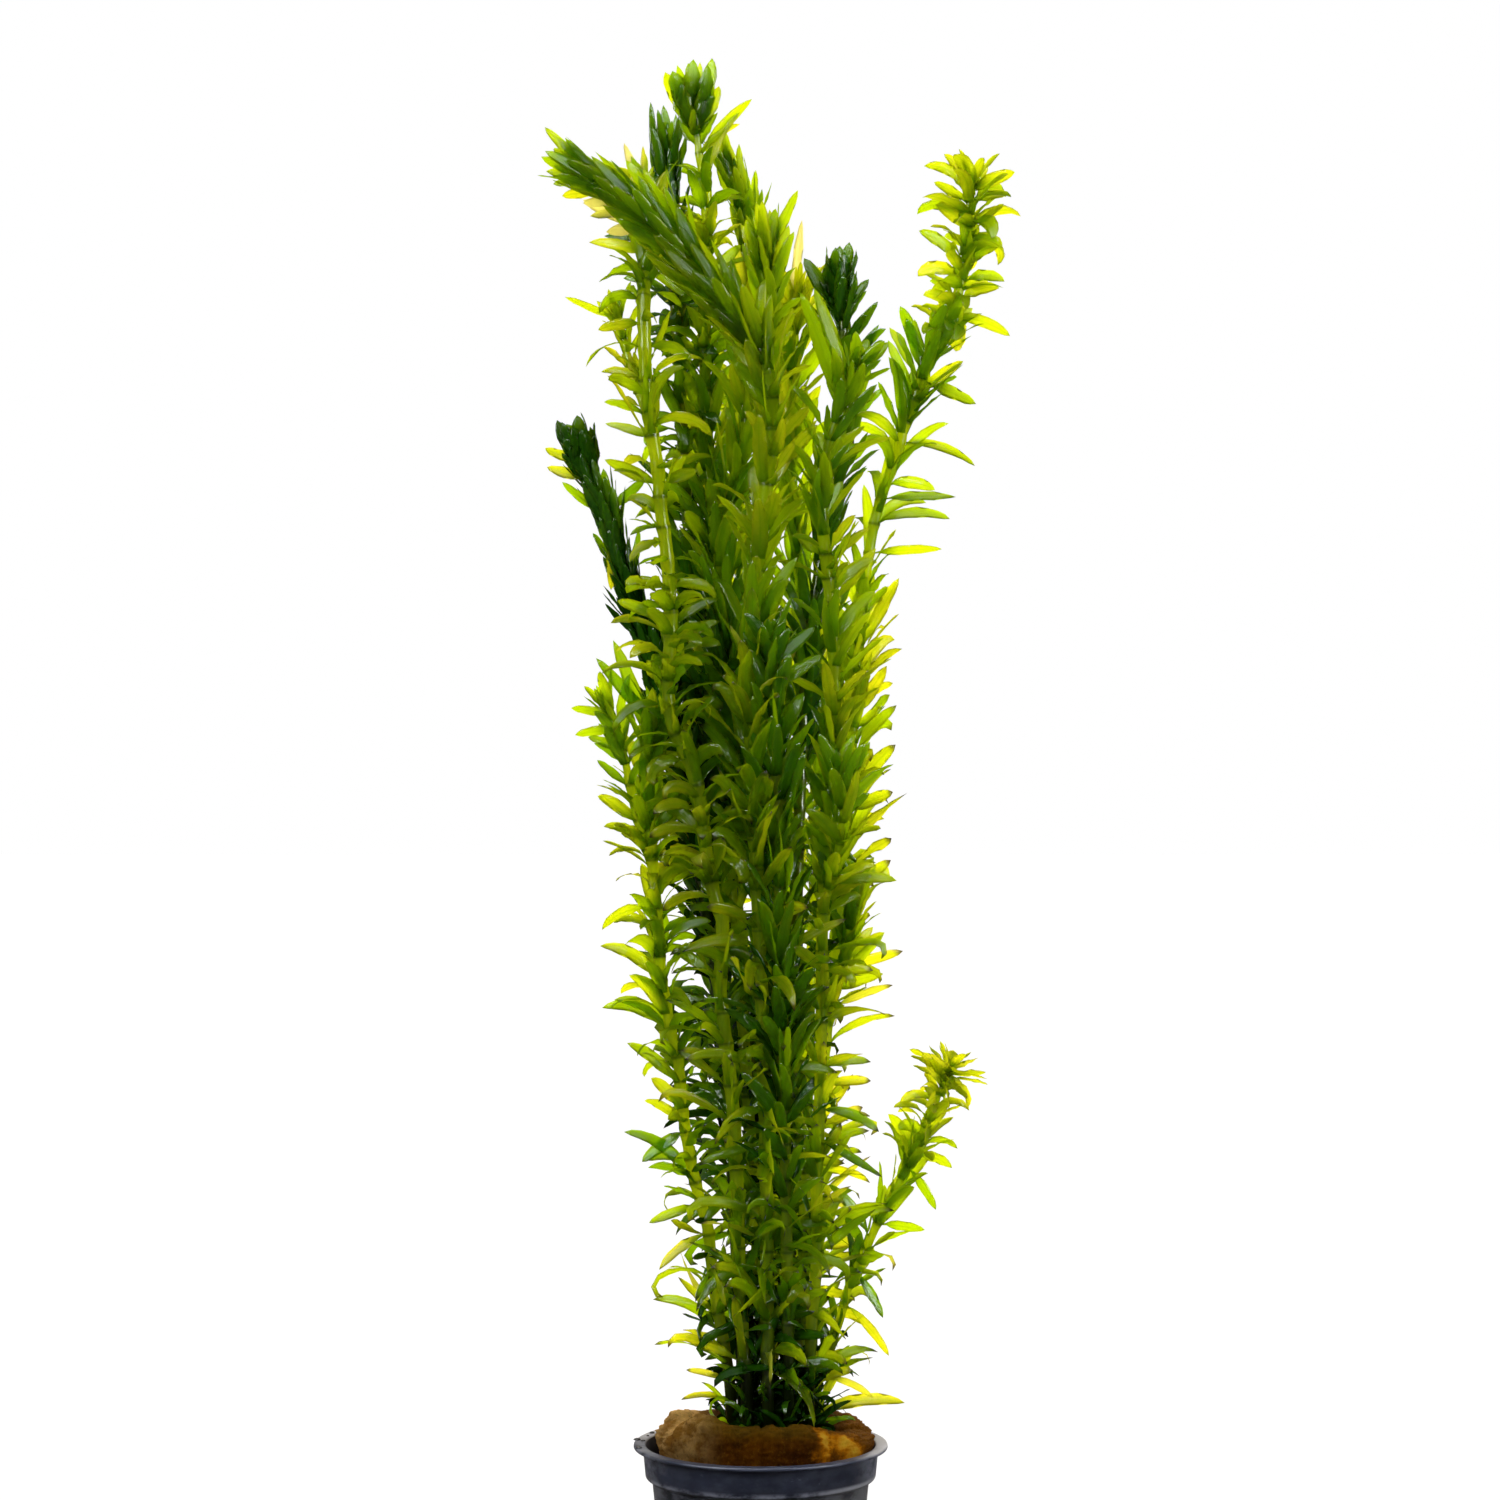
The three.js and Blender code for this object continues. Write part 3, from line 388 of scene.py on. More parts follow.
class Stem:
    """The line of a stem from its tip down, with distances counted from the tip."""

    def __init__(self, shoot):
        points = []
        for across, down, *row in shoot["route"]:
            points.append(place_of(across, down, row[0] if row else shoot["row"]))
        if not shoot["fork"]:
            points.insert(0, np.array([points[0][0], points[0][1], ROOT_HEIGHT]))
        self.shoot = shoot
        self.steps = smooth_line(np.array(points[::-1]))
        lengths = np.linalg.norm(np.diff(self.steps, axis=0), axis=1)
        self.reach = np.concatenate([[0], np.cumsum(lengths)])
        self.length = self.reach[-1]

    def point(self, distance):
        i = int(np.clip(np.searchsorted(self.reach, distance), 1, len(self.reach) - 1))
        part = (distance - self.reach[i - 1]) / (self.reach[i] - self.reach[i - 1])
        return lerp(self.steps[i - 1], self.steps[i], part)

    def distance_at_height(self, height):
        return self.reach[np.argmax(self.steps[:, 2] < height)]

    def radius(self, distance):
        return lerp(STEM_TIP_RADIUS, self.shoot["stem"], smooth((distance + TAPER_START) / STEM_TAPER))

    def ring(self, distance):
        """Middle of a cross-section, the way up the stem, and two directions across it."""
        along = unit(self.point(distance - 1) - self.point(distance + 1))
        side = unit(np.cross(AWAY, along))
        return self.point(distance), along, side, np.cross(along, side)

    def turn(self, distance):
        return self.shoot["turn"] + TWIST * distance

    def mood(self, distance, salt):
        """A number around 0 that drifts along the stem, so that its leaves differ in groups."""
        return noise.noise(Vector((distance * MOOD_PACE, self.shoot["turn"] * 9.1, salt)))


def habit_at(shoot, distance):
    """How the leaves stand at a distance from the tip: a blend of the nearest habits."""
    rows = [(place, name) for *places, name in shoot["habits"] for place in places]
    before = max((row for row in rows if row[0] <= distance), default=rows[0])
    after = min((row for row in rows if row[0] > distance), default=before)
    part = smooth((distance - before[0]) / max(after[0] - before[0], 1))
    values = zip(TRAITS, HABITS[before[1]], HABITS[after[1]])
    habit = {trait: lerp(first, second, part) for trait, first, second in values}
    habit["length"] *= shoot["scale"]
    habit["old"] = smooth((distance - OLD_AFTER) / OLD_REACH)
    return habit


def shade_at(place, inner):
    """How dark it is between the stems, most of all close above the wool. Inner is the shade further up."""
    low = SHADE * (1 - smooth((place[2] - SHADE_FROM) / SHADE_REACH))
    high = inner * (1 - smooth((place[2] - INNER_FROM) / INNER_REACH))
    lean = smooth((place[2] - SHADE_FROM) / SHADE_LEAN)
    x = place[0] - SHADE_MIDDLE * (1 - lean)
    radius = lerp(SHADE_RADIUS, SHADE_SPREAD * SHADE_RADIUS, lean)
    return (low + high) * (1 - smooth((math.hypot(x, place[1]) - radius) / SHADE_FADE))


def whorls_of(stem, lowest):
    distances = []
    distance = FIRST_WHORL
    while distance < lowest:
        distances.append(distance)
        uneven = CLOSEST + UNEVEN * scatter(stem.shoot["turn"], len(distances), SPACING_SALT)
        distance += habit_at(stem.shoot, distance)["spacing"] * uneven
    return distances


def one_leaf(stem, distance, turn, chance, habit):
    """A leaf that grows at this distance from the tip, in this direction round the stem."""

    def off(salt):
        return chance(salt) - 0.5

    wild = habit["wild"]
    old = habit["old"]
    turn += JITTER * wild * (2 * chance(2) - 1)
    centre, along, side, away = stem.ring(distance)
    out = side * math.cos(turn) + away * math.sin(turn)
    shade = shade_at(centre + out * habit["length"] * 0.6, LEAF_SHADE)
    tone = stem.shoot["tone"] + habit["shift"] + lerp(0.34, 0.5, old) * min(wild, 1) * off(12)
    tone += 0.4 * stem.mood(distance, 0.5)
    yellow = max(0, chance(13) - YELLOW_FROM) / (1 - YELLOW_FROM)
    tone += lerp(0.25, 0.5, old) * yellow * max(0, 1 - 2 * shade)
    length = habit["length"] * (1 + wild * (0.42 * (chance(5) - 0.6) + 0.25 * stem.mood(distance, 7.5)))
    return {
        "start": centre + out * stem.radius(distance) * 0.8,
        "along": along,
        "out": out,
        "open": math.radians(habit["open"]) * (1 + wild * (off(3) + stem.mood(distance, 3.5))),
        "curl": math.radians(habit["curl"]) * (1 + 1.7 * wild * off(4)),
        "length": length,
        "width": habit["wide"] * habit["length"] * (0.85 + 0.35 * chance(6)),
        "roll": ROLL * wild * off(7),
        "twist": math.radians(lerp(YOUNG_TWIST, OLD_TWIST, old)) * wild * off(8),
        "sway": SWAY * wild * off(9),
        "fold": math.radians(LEAST_FOLD + MORE_FOLD * chance(10)),
        "hook": max(0, off(11)) * wild * (1 + 5 * old),
        "blunt": lerp(YOUNG_BLUNT, OLD_BLUNT, old),
        # Painted shade between the stems is taken off the leaf's tone.
        "tone": tone - shade,
        "shade": shade,
        "age": old,
        "missing": False,
    }


def aim_leaf(leaf, tip):
    """Bends and stretches a leaf so that its tip comes to a given place."""
    way = tip - leaf["start"]
    up = way @ leaf["along"]
    across = way - up * leaf["along"]
    reach = np.linalg.norm(across)
    leaf["out"] = across / reach
    leaf["curl"] *= 0.6
    half = leaf["curl"] / 2
    leaf["open"] = math.atan2(reach, up) - half
    leaf["length"] = np.linalg.norm(way) * half / math.sin(half)
    narrowest, widest = TRACED_WIDTHS
    leaf["width"] = min(max(leaf["width"], narrowest * leaf["length"]), widest * leaf["length"])
    # A traced leaf gets back the tone that the painted shade took off.
    leaf["tone"] += leaf["shade"]
    leaf["roll"] = math.copysign(TRACED_ROLL, leaf["roll"])
    leaf["twist"] *= 0.3
    leaf.update(sway=0, hook=0, missing=False)


def trace_leaves(stem, leaves, corners):
    """Turns the nearest leaf of a whorl to each leaf that a shoot names by its foot and tip."""
    for foot_across, foot_down, tip_across, tip_down, *tone in stem.shoot["leaves"]:
        choices = []
        for corner in corners:
            distance, turn, _ = corner
            centre, along, side, away = stem.ring(distance)
            foot = place_at_depth(foot_across, foot_down, centre[1])
            tip = place_at_depth(tip_across, tip_down, centre[1])
            way = tip - centre
            way = unit(way - (way @ along) * along)
            off = 1 - way @ (side * math.cos(turn) + away * math.sin(turn))
            choices.append((np.linalg.norm(centre - foot) + TRACE_TURN_COST * off, corner, tip))
        _, corner, tip = min(choices, key=lambda choice: choice[0])
        corners.remove(corner)
        leaf = leaves[corner[2]]
        aim_leaf(leaf, tip)
        if tone:
            leaf["tone"] = tone[0]


def leaves_of(stem, number, whorls):
    """All leaves of a shoot: those of the whorls, the base, between two whorls, and the bud."""
    shoot = stem.shoot
    leaves = []
    corners = []
    for whorl, distance in enumerate(whorls):
        habit = habit_at(shoot, distance)
        for corner in range(CORNERS):
            chance = chance_of(number + WHORL_SEED, whorl, corner)
            turn = stem.turn(distance) + corner * TURN / CORNERS
            corners.append((distance, turn, len(leaves)))
            leaves.append(one_leaf(stem, distance, turn, chance, habit))
            leaves[-1]["missing"] = chance(1) < habit["missing"]
    for ring, height in enumerate([] if shoot["fork"] else BASE_HEIGHTS):
        distance = stem.distance_at_height(height)
        habit = habit_at(shoot, distance)
        habit["length"] *= BASE_LEAF
        for corner in range(CORNERS):
            chance = chance_of(number + BASE_SEED, ring, corner)
            turn = stem.turn(distance) + (corner + chance(1)) * TURN / CORNERS
            corners.append((distance, turn, len(leaves)))
            leaves.append(one_leaf(stem, distance, turn, chance, habit))
    trace_leaves(stem, leaves, corners)
    leaves = [leaf for leaf in leaves if not leaf["missing"]]
    for whorl, distance in enumerate(whorls):
        habit = habit_at(shoot, distance)
        between = distance + habit["spacing"] / 2
        for corner in range(CORNERS):
            chance = chance_of(number + BETWEEN_SEED, whorl, corner)
            if chance(1) < habit["between"]:
                turn = stem.turn(between) + (corner + 0.5) * TURN / CORNERS
                leaves.append(one_leaf(stem, between, turn, chance, habit))
    for step in range(BUD_LEAVES):
        distance = BUD_STEP * (1 + step)
        habit = habit_at(shoot, 0)
        habit["open"] *= 0.4 + 0.06 * step
        habit["length"] *= 0.5 + 0.05 * step
        turn = stem.turn(distance) + step * BUD_TURN
        leaves.append(one_leaf(stem, distance, turn, chance_of(number + BUD_SEED, 0, step), habit))
    return leaves


def leaf_faces():
    """A leaf's faces: the cap at its foot, its two sides and its tip."""
    faces = [(0, 1, 7), (1, 2, 6, 7), (2, 3, 5, 6), (3, 4, 5)]
    for section in range(len(LEAF_SECTIONS) - 1):
        for k in range(LEAF_RING):
            a = section * LEAF_RING + k
            b = section * LEAF_RING + (k + 1) % LEAF_RING
            faces.append((a, a + LEAF_RING, b + LEAF_RING, b))
    last = (len(LEAF_SECTIONS) - 1) * LEAF_RING
    for k in range(LEAF_RING):
        faces.append((last + k, LEAF_POINTS - 1, last + (k + 1) % LEAF_RING))
    return faces


def leaf_points(leaves):
    """The points of all leaves of a shoot, and the tone with its painted shade, reach along the leaf, edge
    and age of each.
    """

    def column(key):
        return np.array([leaf[key] for leaf in leaves])[:, None]

    t = np.append(LEAF_SECTIONS, 1.0)[None, :]
    angle = column("open") + column("curl") * t + column("hook") * np.clip(t - HOOK_FROM, 0, 1) * 3
    middle = (angle[:, 1:] + angle[:, :-1]) / 2
    step = np.diff(t) * column("length")
    zero = np.zeros((len(leaves), 1))
    up = np.concatenate([zero, np.cumsum(np.cos(middle) * step, axis=1)], axis=1)
    outwards = np.concatenate([zero, np.cumsum(np.sin(middle) * step, axis=1)], axis=1)
    along = column("along")
    out = column("out")
    across = np.cross(along, out)
    spine = column("start") + along * up[..., None] + out * outwards[..., None]
    spine = spine + across * (column("sway") * column("length") * t**2)[..., None]
    inner = along * np.sin(angle)[..., None] - out * np.cos(angle)[..., None]
    roll = (column("roll") * np.minimum(1, 3 * t) + column("twist") * t)[..., None]
    wide = across * np.cos(roll) + inner * np.sin(roll)
    high = inner * np.cos(roll) - across * np.sin(roll)
    swell = np.sin(np.pi / 2 * np.clip(t / FULL_WIDTH_AT, 0, 1))
    half = column("width") / 2 * (FOOT_WIDTH + (1 - FOOT_WIDTH) * swell)
    half = half * (1 - t ** column("blunt")) ** 0.75
    fold = column("fold") * (1 - 0.5 * t)
    u = LEAF_ACROSS[None, None, :]
    wave = LEAF_WAVE * np.sin(t * LEAF_WAVES + column("tone") * 40)[..., None] * np.abs(u) * np.sign(u + 0.01)
    sideways = u * (half * np.cos(fold))[..., None]
    upwards = np.abs(u) * (half * np.sin(fold))[..., None] + wave * half[..., None]
    thick = (LEAF_EDGE + LEAF_RIB * (1 - np.abs(u))) * (1 - 0.55 * t)[..., None]
    upwards = upwards + thick / 2 * LEAF_SIDE[None, None, :]
    points = spine[:, :, None, :] + wide[:, :, None, :] * sideways[..., None]
    points = points + high[:, :, None, :] * upwards[..., None]
    rings = points[:, :-1]
    facts = [column("tone")[..., None], t[:, :-1, None], np.abs(u), column("age")[..., None]]
    facts = np.stack([np.broadcast_to(fact, rings.shape[:3]) for fact in facts], axis=-1)
    tip_facts = np.stack([column("tone"), zero + 1, zero, column("age")], axis=-1)
    points = np.concatenate([rings.reshape(len(leaves), -1, 3), spine[:, -1:, :]], axis=1)
    facts = np.concatenate([facts.reshape(len(leaves), -1, 4), tip_facts], axis=1)
    return points.reshape(-1, 3), facts.reshape(-1, 4)


def stem_tube(stem, whorls, end):
    """The closed round stem, thicker at each whorl, from the end distance up to its tip."""
    distances = np.arange(STEM_START, end, STEM_STEP)[::-1]
    points = [stem.point(distances[0])]
    facts = [(stem.shoot["tone"], 0, 0.5, 1)]
    for distance in distances:
        centre, _, side, away = stem.ring(distance)
        near = math.exp(-((np.min(np.abs(np.array(whorls) - distance)) / NODE_REACH) ** 2))
        old = habit_at(stem.shoot, distance)["old"]
        # Painted shade between the stems is taken off the stem's tone.
        tone = stem.shoot["tone"] - shade_at(centre, STEM_SHADE)
        radius = stem.radius(distance) * lerp(YOUNG_STEM, OLD_STEM, old) * (1 + NODE_BULGE * near)
        for k in range(STEM_SIDES):
            angle = k * TURN / STEM_SIDES
            points.append(centre + (side * math.cos(angle) + away * math.sin(angle)) * radius)
            facts.append((tone, near, 0.5, old))
    points.append(stem.point(STEM_POINT))
    facts.append((stem.shoot["tone"], 0, 0.5, 0))
    return points, facts, closed_faces(len(distances), STEM_SIDES)


# Materials


class Tree:
    """The node tree of a material or a world. What goes into a node is a number, a colour or a socket."""

    def __init__(self, owner):
        owner.use_nodes = True
        owner.node_tree.nodes.clear()
        self.owner = owner

    def put(self, kind, inputs=None, **settings):
        """Adds a node and returns its outputs. A colour is given without its alpha, which is 1."""
        made = self.owner.node_tree.nodes.new("ShaderNode" + kind)
        for key, value in settings.items():
            setattr(made, key, value)
        for key, value in (inputs or {}).items():
            socket = made.inputs[key]
            if isinstance(value, bpy.types.NodeSocket):
                self.owner.node_tree.links.new(value, socket)
            elif isinstance(value, tuple):
                socket.default_value = value + (1,) * (len(socket.default_value) - len(value))
            else:
                socket.default_value = value
        return made.outputs

    def mixed(self, part, first, second):
        """A colour between two colours."""
        return self.put("Mix", {0: part, 6: first, 7: second}, data_type="RGBA")[2]

    def layered(self, colour, *coats):
        """A colour under coats of other colours, each given as its strength and its colour."""
        for part, coat in coats:
            colour = self.mixed(part, colour, coat)
        return colour

    def math(self, operation, first, second=0):
        return self.put("Math", {0: first, 1: second}, operation=operation)[0]

    def times(self, first, *others):
        for other in others:
            first = self.math("MULTIPLY", first, other)
        return first

    def ramp(self, value, low, high, end=1, start=0):
        """Goes smoothly from start, where the value is low, to end, where it is high."""
        inputs = {0: value, 1: low, 2: high, 3: start, 4: end}
        return self.put("MapRange", inputs, interpolation_type="SMOOTHSTEP")[0]

    def place(self):
        """The place on the object, in metres."""
        return self.put("TexCoord")["Object"]

    def speckle(self, scale, detail=3, roughness=0.55, stretch=(1, 1, 1)):
        """Noise in the frame of the object, with features of 1/scale metres."""
        mapped = self.put("Mapping", {"Vector": self.place(), "Scale": stretch})[0]
        inputs = {"Vector": mapped, "Scale": scale, "Detail": detail, "Roughness": roughness}
        return self.put("TexNoise", inputs)["Fac"]

    def bumped(self, height, distance, strength):
        return self.put("Bump", {"Height": height, "Distance": distance, "Strength": strength})[0]

    def growth(self):
        """What a shoot's points carry: tone with its painted shade, reach along a leaf or nearness to a
        whorl, edge, and age.
        """
        facts = self.put("Attribute", attribute_name="growth")
        return [*self.put("SeparateColor", {"Color": facts["Color"]}), facts["Alpha"]]

    def finish(self, body, roughness, shine, normal, glow=None, share=0):
        """Ends a material: a skin, with a share of the light from behind glowing through."""
        inputs = {"Base Color": body, "Roughness": roughness, "Specular IOR Level": shine, "Normal": normal}
        surface = self.put("BsdfPrincipled", inputs)[0]
        if glow is not None:
            light = self.put("BsdfTranslucent", {"Color": glow, "Normal": normal})[0]
            surface = self.put("MixShader", {0: share, 1: surface, 2: light})[0]
        self.put("OutputMaterial", {"Surface": surface})
        return self.owner


def leaf_material():
    """Thin leaf, deep green to yellow by its tone, with a rib, a pale edge, painted shade and, when old, a
    worn tip.
    """
    tree = Tree(bpy.data.materials.new("waterweed_leaf"))
    tone, reach, edge, age = tree.growth()
    mottle = tree.speckle(700)
    cells = tree.speckle(2600, 2)
    veins = tree.math("SINE", tree.times(edge, 26))
    tint = tree.ramp(tone, 0, 1)
    dead = tree.times(tree.ramp(reach, 0.86, 1), tree.ramp(age, 0.5, 1, 0.85))
    worn = tree.times(tree.ramp(reach, 0.84, 1), tree.ramp(age, 0.4, 1, 0.85))
    body = tree.layered(
        tree.mixed(tint, (0.02, 0.12, 0.002), (0.3, 0.5, 0.01)),
        (tree.ramp(mottle, 0.35, 0.7, 0.5), (0.07, 0.26, 0.004)),
        (dead, (0.035, 0.03, 0.03)),
        # Painted shade: where the tone falls below 0 between the stems, the leaf goes nearly black.
        (tree.ramp(tone, -0.1, -1.1, 0.9), (0.002, 0.005, 0.0004)),
    )
    glow = tree.layered(
        tree.mixed(tint, (0.62, 0.9, 0.008), (0.99, 0.98, 0.1)),
        (tree.ramp(mottle, 0.4, 0.75, 0.3), (0.8, 0.93, 0.01)),
        (tree.ramp(edge, 0, 0.22, 0, 0.3), (0.55, 0.76, 0.003)),
        (tree.ramp(cells, 0.45, 0.8, 0.2), (0.65, 0.8, 0.003)),
        (tree.ramp(edge, 0.78, 1, 0.35), (0.98, 0.97, 0.08)),
        # Darker glow towards the foot: partly the leaf's own deeper green, partly painted shade where it
        # meets the stem.
        (tree.ramp(reach, 0.45, 0, 0.6), (0.42, 0.62, 0.003)),
        (tree.ramp(tone, 0.95, 1.4), (1, 0.95, 0.5)),
        (worn, (0.16, 0.12, 0.14)),
    )
    relief = tree.math("ADD", tree.times(veins, 0.1), tree.times(cells, 0.15))
    normal = tree.bumped(tree.math("ADD", relief, mottle), 0.0004, 0.4)
    # The painted shade in the tone also dulls the shine and lets less light through.
    shine = tree.ramp(tone, -0.6, 0.2, 0.85, 0.03)
    return tree.finish(body, 0.1, shine, normal, glow, tree.ramp(tone, -0.7, 0.6, 0.86, 0.05))


def stem_material():
    """Glassy green stem with fine fibres, a dark ring at each whorl, and painted shade between the stems."""
    tree = Tree(bpy.data.materials.new("waterweed_stem"))
    tone, near_whorl, *_ = tree.growth()
    fibres = tree.speckle(900, 3, 0.6, (1, 1, 0.12))
    # The tone carries painted shade between the stems: it darkens the stem, dulls its shine and lets less
    # light through.
    tint = tree.ramp(tone, -0.5, 1)
    body = tree.mixed(tree.ramp(fibres, 0.35, 0.7, 0.45), (0.46, 0.67, 0.02), (0.08, 0.26, 0.004))
    body = tree.mixed(tint, (0.004, 0.009, 0.0005), body)
    body = tree.mixed(tree.times(near_whorl, 0.7), body, (0.02, 0.05, 0.002))
    glow = tree.mixed(tree.ramp(fibres, 0.3, 0.7), (0.95, 1, 0.03), (0.78, 0.9, 0.01))
    glow = tree.mixed(tree.ramp(near_whorl, 0.55, 0.95, 0.8), glow, (0.3, 0.4, 0.003))
    normal = tree.bumped(fibres, 0.00015, 0.5)
    shine = tree.ramp(tone, -0.6, 0.2, 0.9, 0.1)
    return tree.finish(body, 0.22, shine, normal, glow, tree.ramp(tint, 0, 0.8, 0.8, 0.06))


# Pieces


def add_object(name, data):
    added = bpy.data.objects.new(name, data)
    bpy.context.scene.collection.objects.link(added)
    return added


def new_piece(name, points, faces, materials, facts=None):
    """A mesh piece, with its points given in millimetres."""
    mesh = bpy.data.meshes.new(name)
    mesh.from_pydata((np.asarray(points) * MM).tolist(), [], faces)
    for material in materials:
        mesh.materials.append(material)
    if facts is not None:
        layer = mesh.attributes.new("growth", "FLOAT_COLOR", "POINT")
        layer.data.foreach_set("color", np.asarray(facts, dtype=np.float32).ravel())
    mesh.shade_smooth()
    mesh.update()
    piece = add_object(name, mesh)
    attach(piece, "root")
    return piece


def grow_shoots():
    materials = [leaf_material(), stem_material()]
    template = leaf_faces()
    for number, traits in enumerate(SHOOTS):
        shoot = {**USUAL, **traits, "turn": TURN_APART * number}
        stem = Stem(shoot)
        if shoot["fork"]:
            lowest = stem.length - FORK_GAP
            end = stem.length
        else:
            lowest = stem.distance_at_height(FIRST_WHORL_HEIGHT)
            end = stem.distance_at_height(STEM_FOOT_HEIGHT)
        whorls = whorls_of(stem, lowest)
        points, facts = leaf_points(leaves_of(stem, number, whorls))
        faces = []
        for start in range(0, len(points), LEAF_POINTS):
            faces += shifted(template, start)
        tube, tube_facts, tube_faces = stem_tube(stem, whorls, end)
        kinds = [0] * len(faces) + [1] * len(tube_faces)
        faces += shifted(tube_faces, len(points))
        points = np.vstack([points, tube])
        facts = np.vstack([facts, tube_facts])
        piece = new_piece(shoot["name"] + "_leafy", points, faces, materials, facts)
        piece.data.polygons.foreach_set("material_index", kinds)
        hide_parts(shoot["name"])


# Pot and mineral wool. The pot's outline is that of its solid, with rounded edges.
POT_SIDES = 160
POT_HEIGHT = 50
FOOT_RADIUS = 19
STEP_RADIUS = 23.5
BAND_LOW_RADIUS = 24.9
BAND_TOP_RADIUS = 25.5
BAND_FOOT = 43.3
STEP_FOOT = 42.3
UNDER_FLANGE = 49.1
FLANGE_RADIUS = 27.5
MOUTH_RADIUS = 24.9
POT_WALL = 0.8
POT_FLOOR = 1.4

# Each corner of the outline is [radius, height, rounding]
POT_OUTLINE = [
    [FOOT_RADIUS, 0, 0.8], [STEP_RADIUS, STEP_FOOT, 0.5], [BAND_LOW_RADIUS, STEP_FOOT + 0.5, 0.5],
    [BAND_TOP_RADIUS, UNDER_FLANGE, 0.3], [FLANGE_RADIUS, UNDER_FLANGE + 0.05, 0.35],
    [FLANGE_RADIUS - 0.05, POT_HEIGHT, 0.35], [MOUTH_RADIUS, POT_HEIGHT - 0.05, 0.4],
    [BAND_LOW_RADIUS - POT_WALL, BAND_FOOT, 0.6], [STEP_RADIUS - POT_WALL, STEP_FOOT - 0.3, 0.5],
    [FOOT_RADIUS - POT_WALL, POT_FLOOR, 0.6],
]
ROUND_STEPS = 4

WOOL_SIDES = 200
WOOL_FOOT = 1.75
WOOL_RADIUS = 23
WOOL_LEAN = 1.2
WOOL_CREST = 56
WOOL_SLOPE = -0.05
WOOL_HOLLOW = 50.5
# Each ring is its part of the outer radius, its height, and how much of the crest it has
WOOL_RINGS = [
    [0.3, WOOL_FOOT, 0], [0.72, WOOL_FOOT, 0], [0.84, 26, 0], [0.9, 41, 0], [0.985, 46.5, 0],
    [1.0, WOOL_HOLLOW, -0.05], [0.985, WOOL_HOLLOW, 0.45], [0.91, WOOL_HOLLOW, 0.86],
    [0.79, WOOL_HOLLOW, 1], [0.68, WOOL_HOLLOW, 0.66], [0.6, WOOL_HOLLOW, 0.14], [0.3, WOOL_HOLLOW, 0],
]
# Each bump of the crest is its direction and width in degrees, and its height
WOOL_BUMPS = [
    [224, 14, 1.3], [195, 18, -2.8], [250, 9, -0.4], [330, 16, -1.4], [355, 20, -2.0], [28, 9, 1.0],
    [100, 50, -2.0],
]
WOOL_LUMP = 1.1
WOOL_STRAND = 0.55
WOOL_GLOW = (0.0185, -0.0165, 0.0535)
SEAM_DIRECTION = math.radians(271)
SEAM_DEPTH = 1.1
SEAM_WIDTH = 0.8
SEAM_FROM = 46
ROUGH_FROM = 44


def rounded(outline):
    """The outline with each corner replaced by a short curve."""
    path = [[0, outline[0][1]]]
    middle = [[0, outline[0][1], 0]] + outline + [[0, outline[-1][1], 0]]
    for before, corner, after in zip(middle, middle[1:], middle[2:]):
        spot = np.array(corner[:2], dtype=float)
        arrive = unit(np.array(before[:2]) - spot) * corner[2]
        leave = unit(np.array(after[:2]) - spot) * corner[2]
        for step in range(ROUND_STEPS + 1):
            t = step / ROUND_STEPS
            path.append(list(spot + arrive * (1 - t) ** 2 + leave * t**2))
    path.append([0, outline[-1][1]])
    return path


def turned(path, sides):
    """A closed body of rings round the axis, along a path that starts and ends on the axis."""
    points = [(0, 0, path[0][1])]
    for radius, height in path[1:-1]:
        for side in range(sides):
            angle = side * TURN / sides
            points.append((radius * math.cos(angle), radius * math.sin(angle), height))
    points.append((0, 0, path[-1][1]))
    return np.array(points), closed_faces(len(path) - 2, sides)


